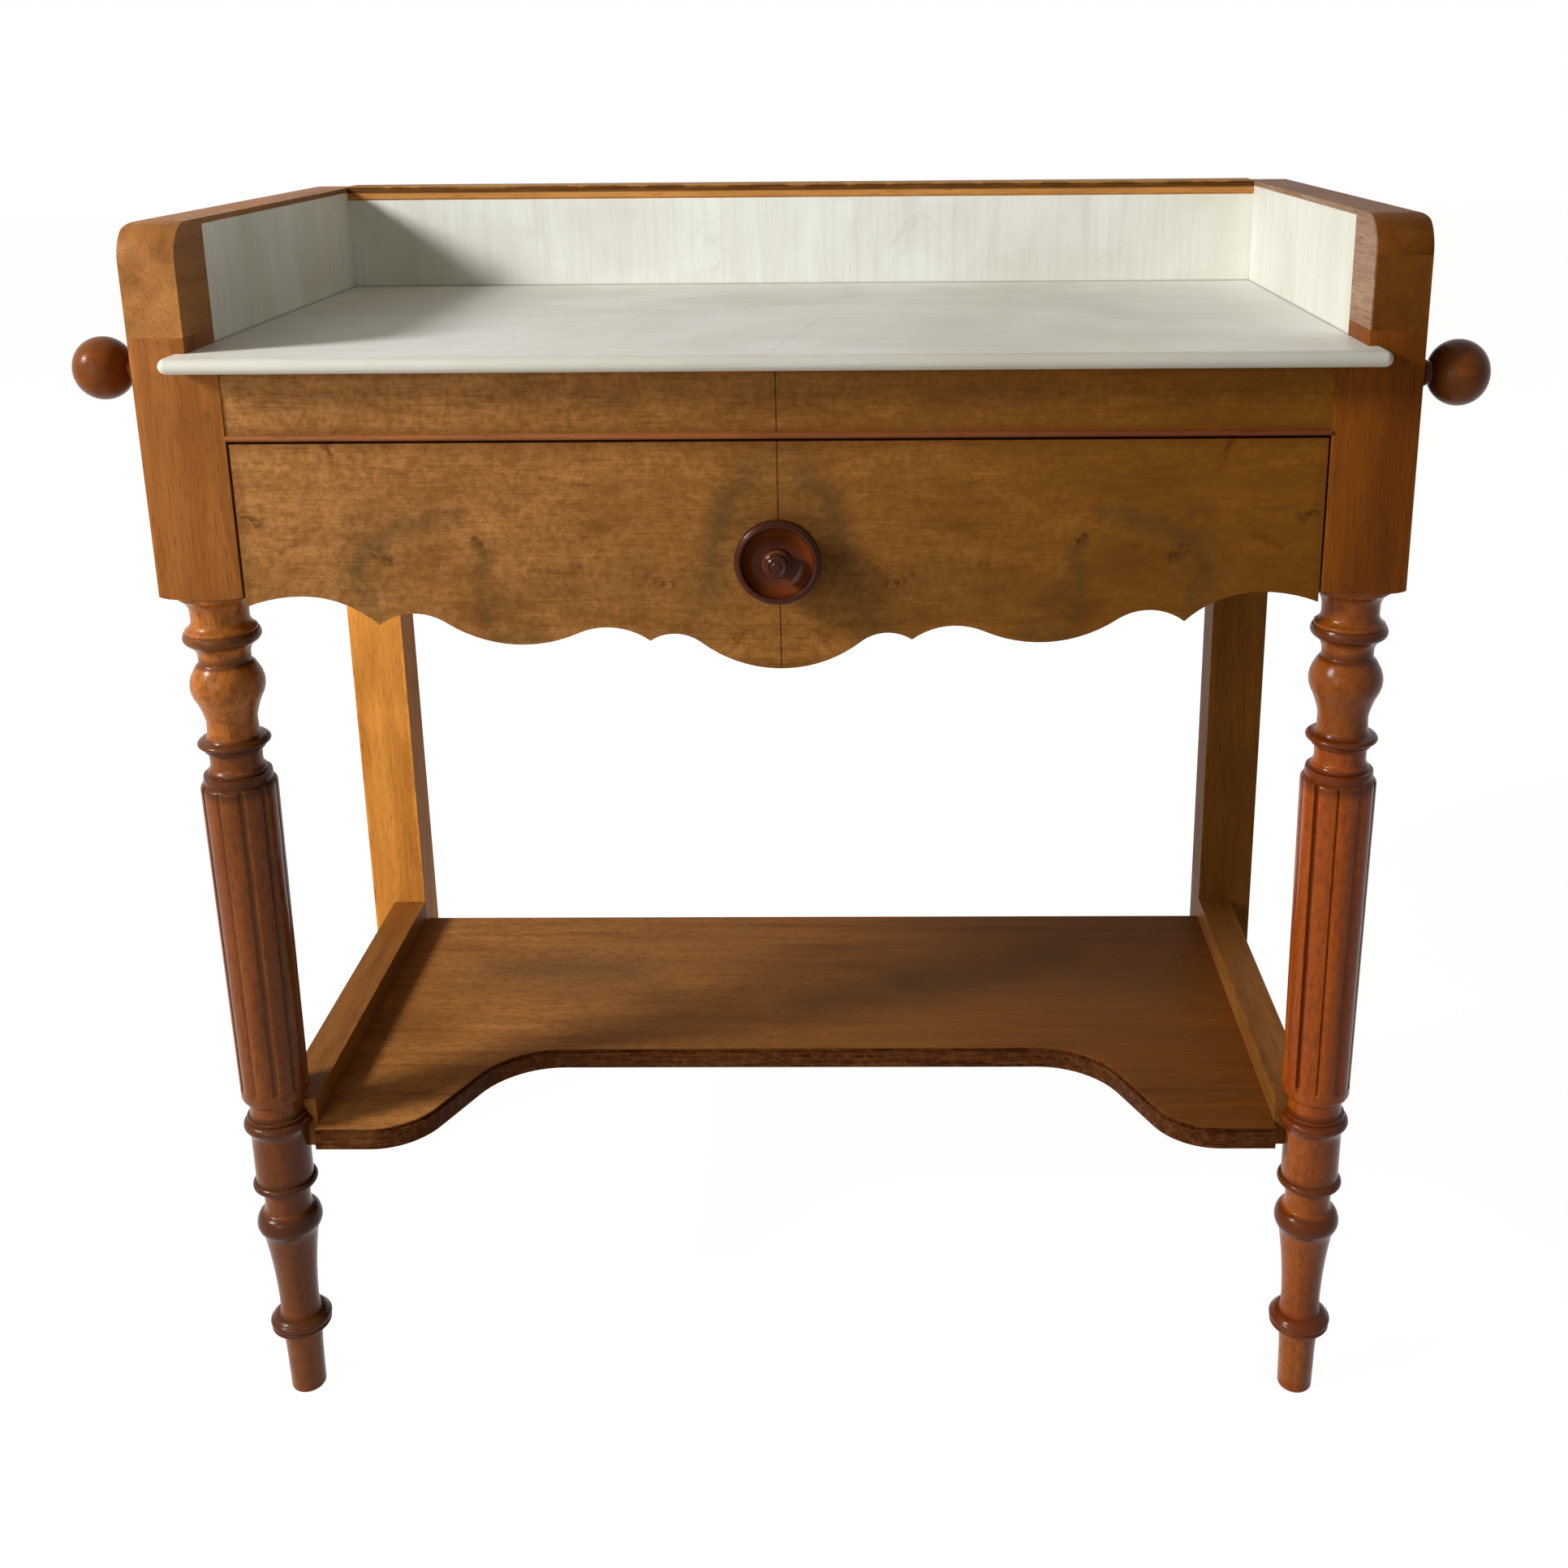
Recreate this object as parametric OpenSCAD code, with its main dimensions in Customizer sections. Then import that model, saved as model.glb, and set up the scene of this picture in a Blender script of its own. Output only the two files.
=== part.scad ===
// Washstand with a marble top, a gallery, one scalloped drawer, two pull-out
// towel rods and a low shelf, on turned and reeded front legs.
// X runs across the front, Y runs back from the posts' front faces, Z is up from
// the floor. Sided pieces are drawn for the right hand and mirrored for the left.

/* [Overall] */
// Width over the square posts of the front legs
width = 800; // [740:10:940]
// Depth from the posts' front faces to the rear of the gallery's back board
depth = 386; // [350:2:440]
// Height of the marble surface above the floor
top_height = 788; // [750:2:830]
// Side clearance between pieces that are fitted together
fit = 0.1; // [0.05:0.05:0.2]

/* [Front legs] */
// Side of the square post at the head of a front leg
post = 54; // [50:1:58]
// How far the square post reaches below the side rails
post_drop = 11; // [6:1:16]
// Rise of the post's outer stub above the marble surface
stub_rise = 9.5; // [6:0.5:14]
// Number of reeds round the shaft
reeds = 10; // [8:1:12]
// Radius of the round cutter that parts two reeds
groove_r = 2; // [1.6:0.1:2.4]
// Depth of the groove between two reeds
groove_depth = 2.4; // [1.6:0.1:2.8]
// Turn of the left leg's first groove from straight ahead
groove_turn_left = 14; // [0:1:36]
// Turn of the right leg's first groove from straight ahead
groove_turn_right = -12; // [-36:1:0]

/* [Back legs] */
// Width of a back leg across the front
back_leg_w = 45; // [38:1:50]
// Thickness of a back leg from front to back
back_leg_d = 38; // [32:1:44]
// Height at which a back leg begins to taper
taper_z = 195; // [120:5:200]
// How far the inner face tapers back at the floor
taper_in = 17; // [5:1:22]
// How far the front face tapers back at the floor
taper_front = 10; // [4:1:16]

/* [Rails] */
// Height of the side rails and the back rail
rail_h = 138; // [124:1:150]
// Thickness of the side rails and the back rail
rail_t = 20; // [18:1:24]
// Distance from a post's outer face in to a side rail's outer face
rail_inset = 10; // [6:1:12]
// Thickness of the tenons on the side rails and the back rail
tenon_t = 10; // [8:1:12]
// Length of the rails' tenons
tenon_l = 18; // [14:1:24]
// Height of the frieze rail over the drawer
frieze_h = 41.5; // [37:0.5:46]
// Thickness of the frieze rail
frieze_t = 16; // [14:1:18]
// Height of the bead under the frieze rail
bead_h = 4.5; // [3.5:0.5:6]
// Distance from a post's front face back to the frieze and the drawer
front_set = 1; // [0.5:0.5:3]

/* [Marble] */
// Thickness of the top slab
marble_t = 10; // [9:0.5:14]
// Overhang of the top slab's rounded edge in front of the posts
nosing = 23; // [18:1:30]
// Distance from a post's outer face in to the end of the rounded edge
nosing_inset = 25; // [18:1:32]
// Thickness of the back slab
back_slab_t = 14; // [12:1:18]

/* [Gallery] */
// Height of the gallery's sides above the marble surface
gallery_h = 79; // [65:1:95]
// Thickness of the side boards behind the stiles
side_board_t = 17; // [14:1:20]
// Width of a front stile across the front
stile_w = 35; // [31:1:38]
// Depth of a front stile from front to back
stile_d = 50; // [44:1:53]
// Radius of the rounded top front corner
corner_r = 24; // [15:1:32]
// Radius of the eased outer top edge
ease_r = 5; // [3:0.5:7]
// Thickness of the lip over the side slabs
lip_t = 3.5; // [3:0.5:5]
// Thickness of the back board
back_board_t = 9.8; // [8:0.2:12]
// How far the back board reaches below the marble surface
back_board_drop = 43; // [36:1:60]
// Height of the back rail that caps the back slab
cap_h = 11; // [8:1:14]

/* [Drawer] */
// Gap between the drawer's front and a post
drawer_gap = 1.5; // [1:0.25:2.5]
// Thickness of the drawer's front
drawer_front_t = 21.7; // [20:0.1:24]
// Thickness of the drawer's sides and back
drawer_side_t = 10; // [9:0.5:12]
// Height of the drawer's sides
drawer_side_h = 73; // [64:1:80]
// Thickness of the drawer's bottom
drawer_bottom_t = 6; // [5:0.5:8]
// Depth of the grooves that hold the bottom
bottom_groove = 4; // [3:0.5:5]
// Space between the closed drawer and the back rail
drawer_stop = 11; // [6:1:16]
// Number of dovetails at each front corner
dovetails = 3; // [2:1:4]
// Radius of the turned knob
knob_r = 27; // [24:1:30]
// Height of the knob's centre above the side rails' lower edge
knob_rise = 17; // [14:1:24]

/* [Drawer guidance] */
// Width of a runner under a drawer's side
runner_w = 38; // [36:1:44]
// Thickness of a runner
runner_t = 12; // [10:1:16]
// Height of a guide above its runner
guide_h = 16; // [12:1:24]
// Thickness of a kicker over a drawer's side
kicker_t = 10; // [8:1:14]
// Width of a stop block behind the drawer
stop_w = 16; // [12:1:18]
// Height of a stop block
stop_h = 30; // [20:1:36]
// Height of a stop block's lower edge above the drawer sides' lower edges
stop_rise = 20; // [12:1:26]

/* [Towel rods] */
// Radius of a rod
rod_r = 6; // [5:0.5:7]
// Radial clearance of a rod in its bores
rod_clear = 0.3; // [0.2:0.05:0.5]
// Distance from the carcass top down to the rods' axes
rod_drop = 11; // [9:0.5:15]
// Distance of the left rod from the posts' front faces
rod_y_left = 80; // [70:1:110]
// How far the left rod stands out at rest
rod_out_left = 23; // [0:1:40]
// How far each rod pulls out
rod_travel = 250; // [200:5:255]
// Radius of a ball knob across the rod
ball_r = 21; // [18:0.5:22]
// Half of a ball knob's length along the rod
ball_half = 19; // [16:0.5:20]
// Length of the neck between the ball and the post
neck_l = 10.5; // [8:0.5:14]
// Radius of the cross pins
pin_r = 2; // [1.5:0.5:2.5]
// Length of the cross pins
pin_l = 20; // [18:1:26]
// Distance from a rod's inner end to its cross pin
pin_in = 10; // [8:1:14]
// Distance from the middle to the near face of a rod bearer
bearer_x = 140; // [139:1:150]
// Width of a rod bearer
bearer_w = 20; // [16:1:26]
// Height of a rod bearer
bearer_h = 30; // [26:1:36]

/* [Shelf] */
// Height of the shelf's surface above the floor
shelf_z = 226; // [218:1:236]
// Thickness of the shelf
shelf_t = 16; // [14:1:18]
// Half width of the recess in the shelf's front
recess_half = 183; // [150:1:200]
// Depth of the recess behind the outer lobes
recess_depth = 107; // [90:1:118]
// Width across the front of each curved flank
flank_w = 123; // [121:1:130]
// Radius of the hollow curve where a flank runs into the recess
recess_r = 65; // [58:1:67]
// Radius of the round curve where a flank runs into an outer lobe
lobe_r = 49; // [42:1:51]
// Distance from the posts' front faces back to the outer lobes
lobe_y = 17; // [14:1:24]
// Depth of the step along the shelf's upper edge
step_d = 2; // [1:0.5:3]
// Height of the step along the shelf's upper edge
step_h = 3; // [2:0.5:4]
// Height of a stretcher
stretcher_h = 38; // [34:1:44]
// Width of a stretcher
stretcher_w = 27; // [24:1:30]
// Depth of the housing that holds the shelf's edge
housing = 6; // [4:1:8]

/* [Hidden] */
$fn = 96;
// How far solids that are fused reach into each other
e = 0.01;

OAK = "#b98a55";
HONEY = "#a06a38";
BROWN = "#8a5a30";
SHADE = "#6d4424";
DARK = "#2a1710";
STONE = "#d6d3c8";
STEEL = "#5b5750";

// Turned profile of a front leg: height, radius, and how far the stretch up to
// the next station bows out (+) or in (-). The foot counts up from the floor.
FOOT_TURNING = [
    [0, 10.8, 0.7], [3.5, 12.5, 0], [26, 13, -0.3], [53.5, 14.4, 0], [54.8, 19.6, 1.4],
    [58.6, 20.6, 0], [58.9, 20.8, 1.5], [64, 20.2, 0.6], [67.5, 15.2, 0], [72, 13.9, -1.2],
    [134, 18.8, -0.2], [141.3, 21.2, 0], [141.8, 21.9, 0.9], [150.6, 22.3, 0.8],
    [156.5, 17.6, -0.3], [159, 16.4, -0.5], [174.8, 17, 0], [176.2, 20.4, 2], [182.4, 21.2, 0],
    [182.8, 20.1, 0], [221, 20.1, 0], [225.4, 21.6, 2.3], [233.4, 22.3, 0], [234, 20.8, 0.5],
    [236.8, 20.9, 0], [237.3, 19.4, -0.5], [248.5, 19.2, 0.7], [253.5, 23.4, 0]
];
// The head of the turning counts down from the square post.
HEAD_TURNING = [
    [-139, 25.2, 0.5], [-135.5, 23.4, 0], [-135, 22.5, 0.3], [-129, 22.2, 0],
    [-128.5, 19.4, 0.6], [-124.5, 17.8, -0.2], [-120, 17.1, 0], [-113, 17.3, 0],
    [-112.3, 19.2, 0.6], [-109.5, 19.6, 0], [-109, 21.6, 2], [-104.2, 22, 0],
    [-103.8, 18.4, -0.4], [-99, 16.8, 0], [-91, 16.5, -0.4], [-77, 20.8, 3.5],
    [-54.5, 20.6, 0.2], [-50.5, 17.7, -0.3], [-48, 16.9, 0], [-45, 16.9, -0.7], [-38, 20, 0],
    [-36.3, 22.4, 1.9], [-28.6, 24.1, 0], [-28.3, 23.2, 0.2], [-26.3, 22.9, -1.4],
    [-18.5, 18.7, 0], [-13, 18.9, -1.3], [-4, 25, 0], [0, 26, 0]
];
// Outline of the drawer's lower edge: distance from the middle and drop below
// the drawer's top. The lobes hang down and the crests are cut upwards.
SCALLOP_LOBES = [[0, 150, 83], [167, 133, 88]];
SCALLOP_CRESTS = [[69, 126], [112.5, 121.5], [237, 111.5]];
END_CREST = [308, 99.7];
END_CREST_R = [70, 100];
// Turned profile of the drawer's knob, counted forward from the drawer's face:
// a rim round a hollow dish, with a small boss in its middle.
KNOB_TURNING = [
    [0, 13.5, 0], [1.5, 13.5, -0.8], [5, 11.8, -2], [11.5, 24, 1.5],
    [17, 27, 1.2], [21.5, 25.2, 0.4], [22.3, 24, 0], [22, 23.2, 0], [21, 22.8, -2.4],
    [14.5, 9.5, -0.3], [16, 7.8, 0], [20.5, 7.8, 0], [21.5, 9, 0.5], [24.8, 9, 0],
    [26, 7.4, 0.3], [28.8, 6.8, 0], [29.8, 5.4, 0], [29.3, 3.8, 0], [29.6, 3, 0],
    [30.5, 2.2, 0], [30.5, 0, 0]
];

// Heights
carcass_top = top_height - marble_t;
rail_low = carcass_top - rail_h;
post_low = rail_low - post_drop;
shaft_low = FOOT_TURNING[len(FOOT_TURNING) - 1];
shaft_high = HEAD_TURNING[0];
reed_low = shaft_low.x + 6;
reed_high = post_low + shaft_high.x + 5;
pummel = 5;
joint_z = top_height + stub_rise;
gallery_top = top_height + gallery_h;
frieze_low = carcass_top - frieze_h;
bead_low = frieze_low - bead_h;
bead_r = 2;
drawer_top = bead_low - 1.5;
runner_low = rail_low + 2;
side_low = runner_low + runner_t + 0.3;
side_top = side_low + drawer_side_h;
guide_low = runner_low + runner_t;
kicker_low = side_top + 1;
bottom_low = side_low + 8;
knob_z = rail_low + knob_rise;
rod_z = carcass_top - rod_drop;
stretcher_low = shelf_z + 19 - stretcher_h;

// Places across the front, for the right hand
half = width / 2;
post_x = half - post / 2;
post_in = half - post;
rail_out = half - rail_inset;
rail_in = rail_out - rail_t;
back_in = rail_out - back_leg_w;
stile_in = half - stile_w;
board_in = half - side_board_t;
drawer_half = post_in - drawer_gap;
drawer_in = drawer_half - drawer_side_t;
runner_in = rail_in - runner_w;
guide_in = drawer_half + 0.5;

// Places from front to back
carcass_back = depth - back_board_t - 2 * fit;
back_leg_y = carcass_back - back_leg_d;
back_rail_y = carcass_back - rail_t;
drawer_y = front_set - 0.2;
drawer_in_y = drawer_y + drawer_front_t;
drawer_back_y = back_rail_y - drawer_stop;
back_slab_y = carcass_back - back_slab_t;
rod_y_right = post / 2;
frieze_in_y = front_set + frieze_t;
slab_edge_y = stile_d + 3 * fit;

// The origin is the middle of the whole piece's box, on the floor.
reach_right = half + neck_l + 2 * ball_half;
reach_left = reach_right + rod_out_left;
knob_y = drawer_y - KNOB_TURNING[len(KNOB_TURNING) - 1].x;
cap_y = depth + 2;
to_origin = [(reach_left - reach_right) / 2, -(knob_y + cap_y) / 2, 0];

// Tenons, as two opposite corners of each, for the right hand
cheek = (rail_t - tenon_t) / 2;
side_tenon_front = [
    [rail_in + cheek, post - tenon_l - 6, rail_low + 10],
    [rail_out - cheek, post, rod_z - rod_r - 8]
];
side_tenon_back = [
    [rail_in + cheek, back_leg_y, rail_low + 10],
    [rail_out - cheek, back_leg_y + tenon_l, rod_z - rod_r - 8]
];
back_tenon = [
    [back_in, back_rail_y + cheek, rail_low + 15],
    [back_in + tenon_l, carcass_back - cheek, carcass_top - 15]
];
frieze_tenon = [
    [post_in, frieze_in_y - 12, frieze_low + 6],
    [post_in + 22, frieze_in_y - 4, carcass_top - 5]
];
stretcher_tenon = [
    [back_in + 7, back_leg_y, stretcher_low + 7],
    [back_in + stretcher_w - 8, back_leg_y + tenon_l, stretcher_low + stretcher_h - 7]
];
spigot_x = back_in + stretcher_w / 2;
spigot_y = post / 2 + 4;
spigot_r = 5.5;
spigot_z = stretcher_low + stretcher_h / 2;
dowel_r = 4;
dowel_l = 30;
dowel_x = half - stile_w / 2;
screw_r = 2;
screw_l = 22;
screw_head_r = 4;
screw_drop = 15;
screw_z = carcass_top - screw_drop;

// ---- Helpers ----

// Colours a piece and moves it to the origin of the whole.
module piece(tone) color(tone) translate(to_origin) children();

// Turns a piece drawn for the right hand into the one for the given side.
module sided(side) mirror([side < 0 ? 1 : 0, 0, 0]) children();

// A block between two opposite corners, grown on every face.
module block(low, high, grow = 0) {
    margin = [grow, grow, grow];
    translate(low - margin) cube(high - low + 2 * margin);
}

// The mortise for a tenon: the same block with the fit round it.
module mortise(tenon) block(tenon[0], tenon[1], fit);

// Points along one bowed stretch of a turned profile, as radius and height.
function bowed(a, b, steps = 6) =
    let (run = [b.y - a.y, b.x - a.x], out = [run.y, -run.x] / max(norm(run), e))
    [for (i = [0 : (a.z == 0 ? 0 : steps - 1)])
        let (t = i / steps) [a.y, a.x] + t * run + 4 * a.z * t * (1 - t) * out];

// Whole outline of a turned profile, closed along its axis.
function turned_outline(stations, grow = 0) = concat(
    [[0, stations[0].x]],
    [for (i = [0 : len(stations) - 2], p = bowed(stations[i], stations[i + 1])) p + [grow, 0]],
    let (last = stations[len(stations) - 1])
        last.y > 0 ? [[last.y + grow, last.x], [0, last.x]] : [[0, last.x]]
);

// Sum of the radii of two arcs that flow into each other over a run and a rise.
function flowing_radii(run, rise) = (run * run + rise * rise) / (2 * rise);

// The point where two touching circles meet.
function touch(a, ra, b, rb) = a + (b - a) * ra / (ra + rb);

// ---- Front legs ----

function leg_turning() = concat(
    FOOT_TURNING,
    [for (s = HEAD_TURNING) [post_low + s.x, s.y, s.z]]
);

// The turned part of a leg, about its own axis.
module leg_turning_solid(grow = 0) rotate_extrude() polygon(turned_outline(leg_turning(), grow));

// The square post, with its lower corners rounded where the turning begins.
module square_post() {
    intersection() {
        block([-post / 2, -post / 2, post_low], [post / 2, post / 2, carcass_top]);
        rotate_extrude() polygon(concat(
            [[0, post_low]],
            [for (a = [0 : 15 : 90]) [post * 0.54 + 11 * sin(a), post_low + pummel * (1 - cos(a))]],
            [[post * 0.54 + 11, carcass_top], [0, carcass_top]]
        ));
    }
}

// One groove with round ends, leaning with the shaft's taper.
module groove() {
    rise = reed_high - reed_low;
    spread = shaft_high.y - shaft_low.y;
    translate([0, -(shaft_low.y - groove_depth + groove_r), reed_low])
        rotate([atan2(spread, rise), 0, 0])
        rotate_extrude() intersection() {
            union() {
                translate([0, groove_r]) circle(groove_r);
                translate([0, groove_r]) square([groove_r, rise - 2 * groove_r]);
                translate([0, rise - groove_r]) circle(groove_r);
            }
            square([groove_r, rise]);
        }
}

module leg_front(side, groove_turn) sided(side) {
    difference() {
        union() {
            translate([post_x, post / 2, 0]) square_post();
            translate([post_x, post / 2, 0]) leg_turning_solid();
            block([stile_in, 0, carcass_top - e], [half, stile_d, joint_z]);
        }
        translate([post_x, post / 2, 0])
            for (i = [0 : reeds - 1])
                rotate([0, 0, groove_turn + i * 360 / reeds]) groove();
        mortise(side_tenon_front);
        mortise(frieze_tenon);
        translate([spigot_x, spigot_y - fit, spigot_z]) rotate([-90, 0, 0])
            cylinder(r = spigot_r + fit, h = post);
        translate([dowel_x, stile_d / 2, joint_z - dowel_l / 2 - fit])
            cylinder(r = dowel_r + fit, h = dowel_l);
        if (side > 0)
            translate([post_in - 1, rod_y_right, rod_z]) rotate([0, 90, 0])
                cylinder(r = rod_r + rod_clear, h = post + 2);
    }
}

module leg_front_left() piece(HONEY) leg_front(-1, groove_turn_left);
module leg_front_right() piece(BROWN) leg_front(1, groove_turn_right);

// ---- Back legs ----

module leg_back(side) sided(side) {
    difference() {
        intersection() {
            translate([0, carcass_back, 0]) rotate([90, 0, 0])
                linear_extrude(back_leg_d)
                polygon([
                    [back_in + taper_in, 0], [rail_out, 0], [rail_out, carcass_top],
                    [back_in, carcass_top], [back_in, taper_z]
                ]);
            translate([back_in, 0, 0]) rotate([90, 0, 90])
                linear_extrude(back_leg_w)
                polygon([
                    [back_leg_y + taper_front, 0], [carcass_back, 0],
                    [carcass_back, carcass_top], [back_leg_y, carcass_top],
                    [back_leg_y, taper_z]
                ]);
        }
        mortise(side_tenon_back);
        mortise(back_tenon);
        mortise(stretcher_tenon);
        back_board_holes();
    }
}

module leg_back_left() piece(OAK) leg_back(-1);
module leg_back_right() piece(SHADE) leg_back(1);

// ---- Rails ----

module side_rail(side) sided(side) {
    difference() {
        union() {
            block([rail_in, post, rail_low], [rail_out, back_leg_y, carcass_top]);
            block(side_tenon_front[0], side_tenon_front[1] + [0, e, 0]);
            block(side_tenon_back[0] - [0, e, 0], side_tenon_back[1]);
        }
        if (side < 0)
            translate([rail_in - 1, rod_y_left, rod_z]) rotate([0, 90, 0])
                cylinder(r = rod_r + rod_clear, h = rail_t + 2);
    }
}

module side_rail_left() piece(HONEY) side_rail(-1);
module side_rail_right() piece(BROWN) side_rail(1);

module back_rail() piece(SHADE) {
    difference() {
        union() {
            block([-back_in, back_rail_y, rail_low], [back_in, carcass_back, carcass_top]);
            for (side = [-1, 1]) sided(side)
                block(back_tenon[0] - [e, 0, 0], back_tenon[1]);
        }
        back_board_holes();
    }
}

module frieze_rail() piece(BROWN) {
    block([-post_in, front_set, frieze_low], [post_in, frieze_in_y, carcass_top]);
    for (side = [-1, 1]) sided(side)
        block(frieze_tenon[0] - [e, 0, 0], frieze_tenon[1]);
}

// The bead stands proud of the drawer and the frieze on a flat strip.
module cock_bead() piece(BROWN) {
    span = post_in - fit;
    bead_y = drawer_y + 0.2;
    block([-span, bead_y, bead_low + 0.3], [span, frieze_in_y, frieze_low]);
    translate([-span, bead_y, bead_low + bead_h / 2]) rotate([0, 90, 0])
        cylinder(r = bead_r, h = 2 * span);
}

// ---- Marble ----

// The slab lies between the posts' stubs and the upright slabs. It rests on the
// posts, the back legs, the frieze and the back rail, and its front is rounded.
module marble_top() piece(STONE) {
    round_r = marble_t / 2;
    end_x = half - nosing_inset - round_r;
    front_y = round_r - nosing;
    mid_z = carcass_top + round_r;
    union() {
        block([-stile_in + 3 * fit, front_y, carcass_top],
            [stile_in - 3 * fit, back_slab_y - 3 * fit, top_height]);
        block([-end_x, front_y, carcass_top], [end_x, -3 * fit, top_height]);
        translate([-end_x, front_y, mid_z]) rotate([0, 90, 0])
            cylinder(r = round_r, h = 2 * end_x);
        for (side = [-1, 1]) sided(side) {
            translate([end_x, front_y, mid_z]) sphere(round_r);
            translate([end_x, front_y, mid_z]) rotate([-90, 0, 0])
                cylinder(r = round_r, h = -3 * fit - front_y);
        }
    }
}

// The upright slabs stand on the rails, past the ends of the top slab.
module marble_back() piece(STONE)
    block([-board_in + 5 * fit, back_slab_y, carcass_top + fit],
        [board_in - 5 * fit, carcass_back, gallery_top - cap_h + 1]);

module marble_side(side) sided(side)
    block([stile_in, slab_edge_y, carcass_top + fit],
        [board_in - fit, back_slab_y - 3 * fit, gallery_top - lip_t - fit]);

module marble_side_left() piece(STONE) marble_side(-1);
module marble_side_right() piece(STONE) marble_side(1);

// ---- Gallery ----

// Seen from the side: the stile stands on the stub and the board behind it
// reaches down past the slab's end to the side rail.
module gallery_side_outline(low_front, y_start) {
    difference() {
        polygon([
            [y_start, low_front], [slab_edge_y, low_front], [slab_edge_y, carcass_top + fit],
            [depth, carcass_top + fit], [depth, gallery_top], [y_start, gallery_top]
        ]);
        difference() {
            translate([-1, gallery_top - corner_r]) square(corner_r + 1);
            translate([corner_r, gallery_top - corner_r]) circle(corner_r);
        }
    }
}

module gallery_side(side) sided(side) {
    difference() {
        intersection() {
            translate([stile_in, 0, 0]) rotate([90, 0, 90])
                linear_extrude(stile_w) gallery_side_outline(joint_z + fit, 0);
            translate([0, depth, 0]) rotate([90, 0, 0])
                linear_extrude(depth) difference() {
                    translate([stile_in, 0]) square([stile_w, gallery_top]);
                    difference() {
                        translate([half - ease_r, gallery_top - ease_r]) square(ease_r + 1);
                        translate([half - ease_r, gallery_top - ease_r]) circle(ease_r);
                    }
                }
        }
        block([stile_in - 1, stile_d, 0], [board_in, depth + 1, gallery_top - lip_t]);
        translate([dowel_x, stile_d / 2, joint_z - dowel_l / 2])
            cylinder(r = dowel_r + fit, h = dowel_l + fit);
    }
}

module gallery_side_left() piece(HONEY) gallery_side(-1);
module gallery_side_right() piece(BROWN) gallery_side(1);

module gallery_back_board() piece(SHADE) {
    difference() {
        block([-board_in + 5 * fit, depth - back_board_t, top_height - back_board_drop],
            [board_in - 5 * fit, depth, gallery_top - cap_h + 1]);
        back_board_holes();
    }
}

// A cap over the back slab, with a fine groove under its top edge.
module gallery_back_rail() piece(BROWN) {
    low = gallery_top - cap_h + 1;
    high = gallery_top + 1;
    front_y = back_slab_y - 1;
    block([-board_in + 5 * fit, back_slab_y - 2 * fit, low],
        [board_in - 5 * fit, depth, gallery_top - lip_t - 2 * fit]);
    translate([-stile_in + 3 * fit, 0, 0]) rotate([90, 0, 90])
        linear_extrude(2 * (stile_in - 3 * fit)) polygon([
            [front_y, low + 1], [front_y, high - 2.4], [front_y + 1, high - 2],
            [front_y, high - 1.6], [front_y, high - 0.6], [front_y + 0.6, high],
            [cap_y - 0.6, high], [cap_y, high - 0.6], [cap_y, low + 4],
            [depth, low + 1]
        ]);
}

module gallery_dowels() piece(OAK)
    for (side = [-1, 1]) sided(side)
        translate([dowel_x, stile_d / 2, joint_z - dowel_l / 2]) cylinder(r = dowel_r, h = dowel_l);

// The screws go through the back board into the back legs and the back rail.
screw_span = back_in + back_leg_w / 2;
module at_screws()
    for (i = [-2 : 2])
        translate([i * screw_span / 2, depth, screw_z]) rotate([90, 0, 0]) children();

module back_board_holes()
    at_screws() {
        translate([0, 0, -1]) cylinder(r = screw_r + fit, h = screw_l + 1 + fit);
        translate([0, 0, -e]) cylinder(r1 = screw_head_r + fit, r2 = screw_r + fit, h = 2.5);
    }

module back_board_screws() piece(STEEL)
    at_screws() {
        translate([0, 0, fit]) cylinder(r = screw_r, h = screw_l - fit);
        translate([0, 0, fit]) cylinder(r1 = screw_head_r - fit, r2 = screw_r, h = 2.3);
    }

// ---- Shelf ----

// One side of the shelf from above: an outer lobe and a straight flank that
// runs through a hollow curve into the recess.
module shelf_wing(inset, side_x, narrow, back_y) {
    recess_y = lobe_y + recess_depth;
    lobe = [recess_half + flank_w, lobe_y + lobe_r];
    hollow = [recess_half, recess_y - recess_r];
    across = lobe - hollow;
    lean = atan2(across.y, across.x) + acos((lobe_r + recess_r) / norm(across));
    out = [cos(lean), sin(lean)];
    low = lobe - (lobe_r - inset) * out;
    high = hollow + (recess_r + inset) * out;
    difference() {
        union() {
            polygon([low, high, [high.x, back_y], [narrow, back_y], [narrow, low.y]]);
            translate([recess_half, high.y]) square([high.x - recess_half + 1, back_y - high.y]);
            translate([lobe.x, lobe_y + inset])
                square([narrow - lobe.x, low.y + 1 - lobe_y - inset]);
            translate([lobe.x, post + 4])
                square([side_x - lobe.x, back_leg_y - fit - post - 4]);
            intersection() {
                translate(lobe) circle(lobe_r - inset);
                square([lobe.x + 1, depth]);
            }
        }
        translate(hollow) circle(recess_r + inset);
    }
}

// Between the legs the outline reaches out to half the given width.
module shelf_outline(inset, side_x) {
    narrow = back_in - 2 * fit;
    back_y = back_leg_y + 6;
    front_y = lobe_y + recess_depth + inset;
    translate([-recess_half - 1, front_y]) square([2 * recess_half + 2, back_y - front_y]);
    for (side = [-1, 1]) sided(side) shelf_wing(inset, side_x, narrow, back_y);
}

// The lower layer runs on into the stretchers' housings as a tongue.
module shelf() piece(BROWN) {
    translate([0, 0, shelf_z - shelf_t]) linear_extrude(shelf_t - step_h)
        shelf_outline(0, back_in + housing - fit);
    translate([0, 0, shelf_z - step_h - e]) linear_extrude(step_h + e)
        shelf_outline(step_d, back_in - 2 * fit);
}

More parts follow.
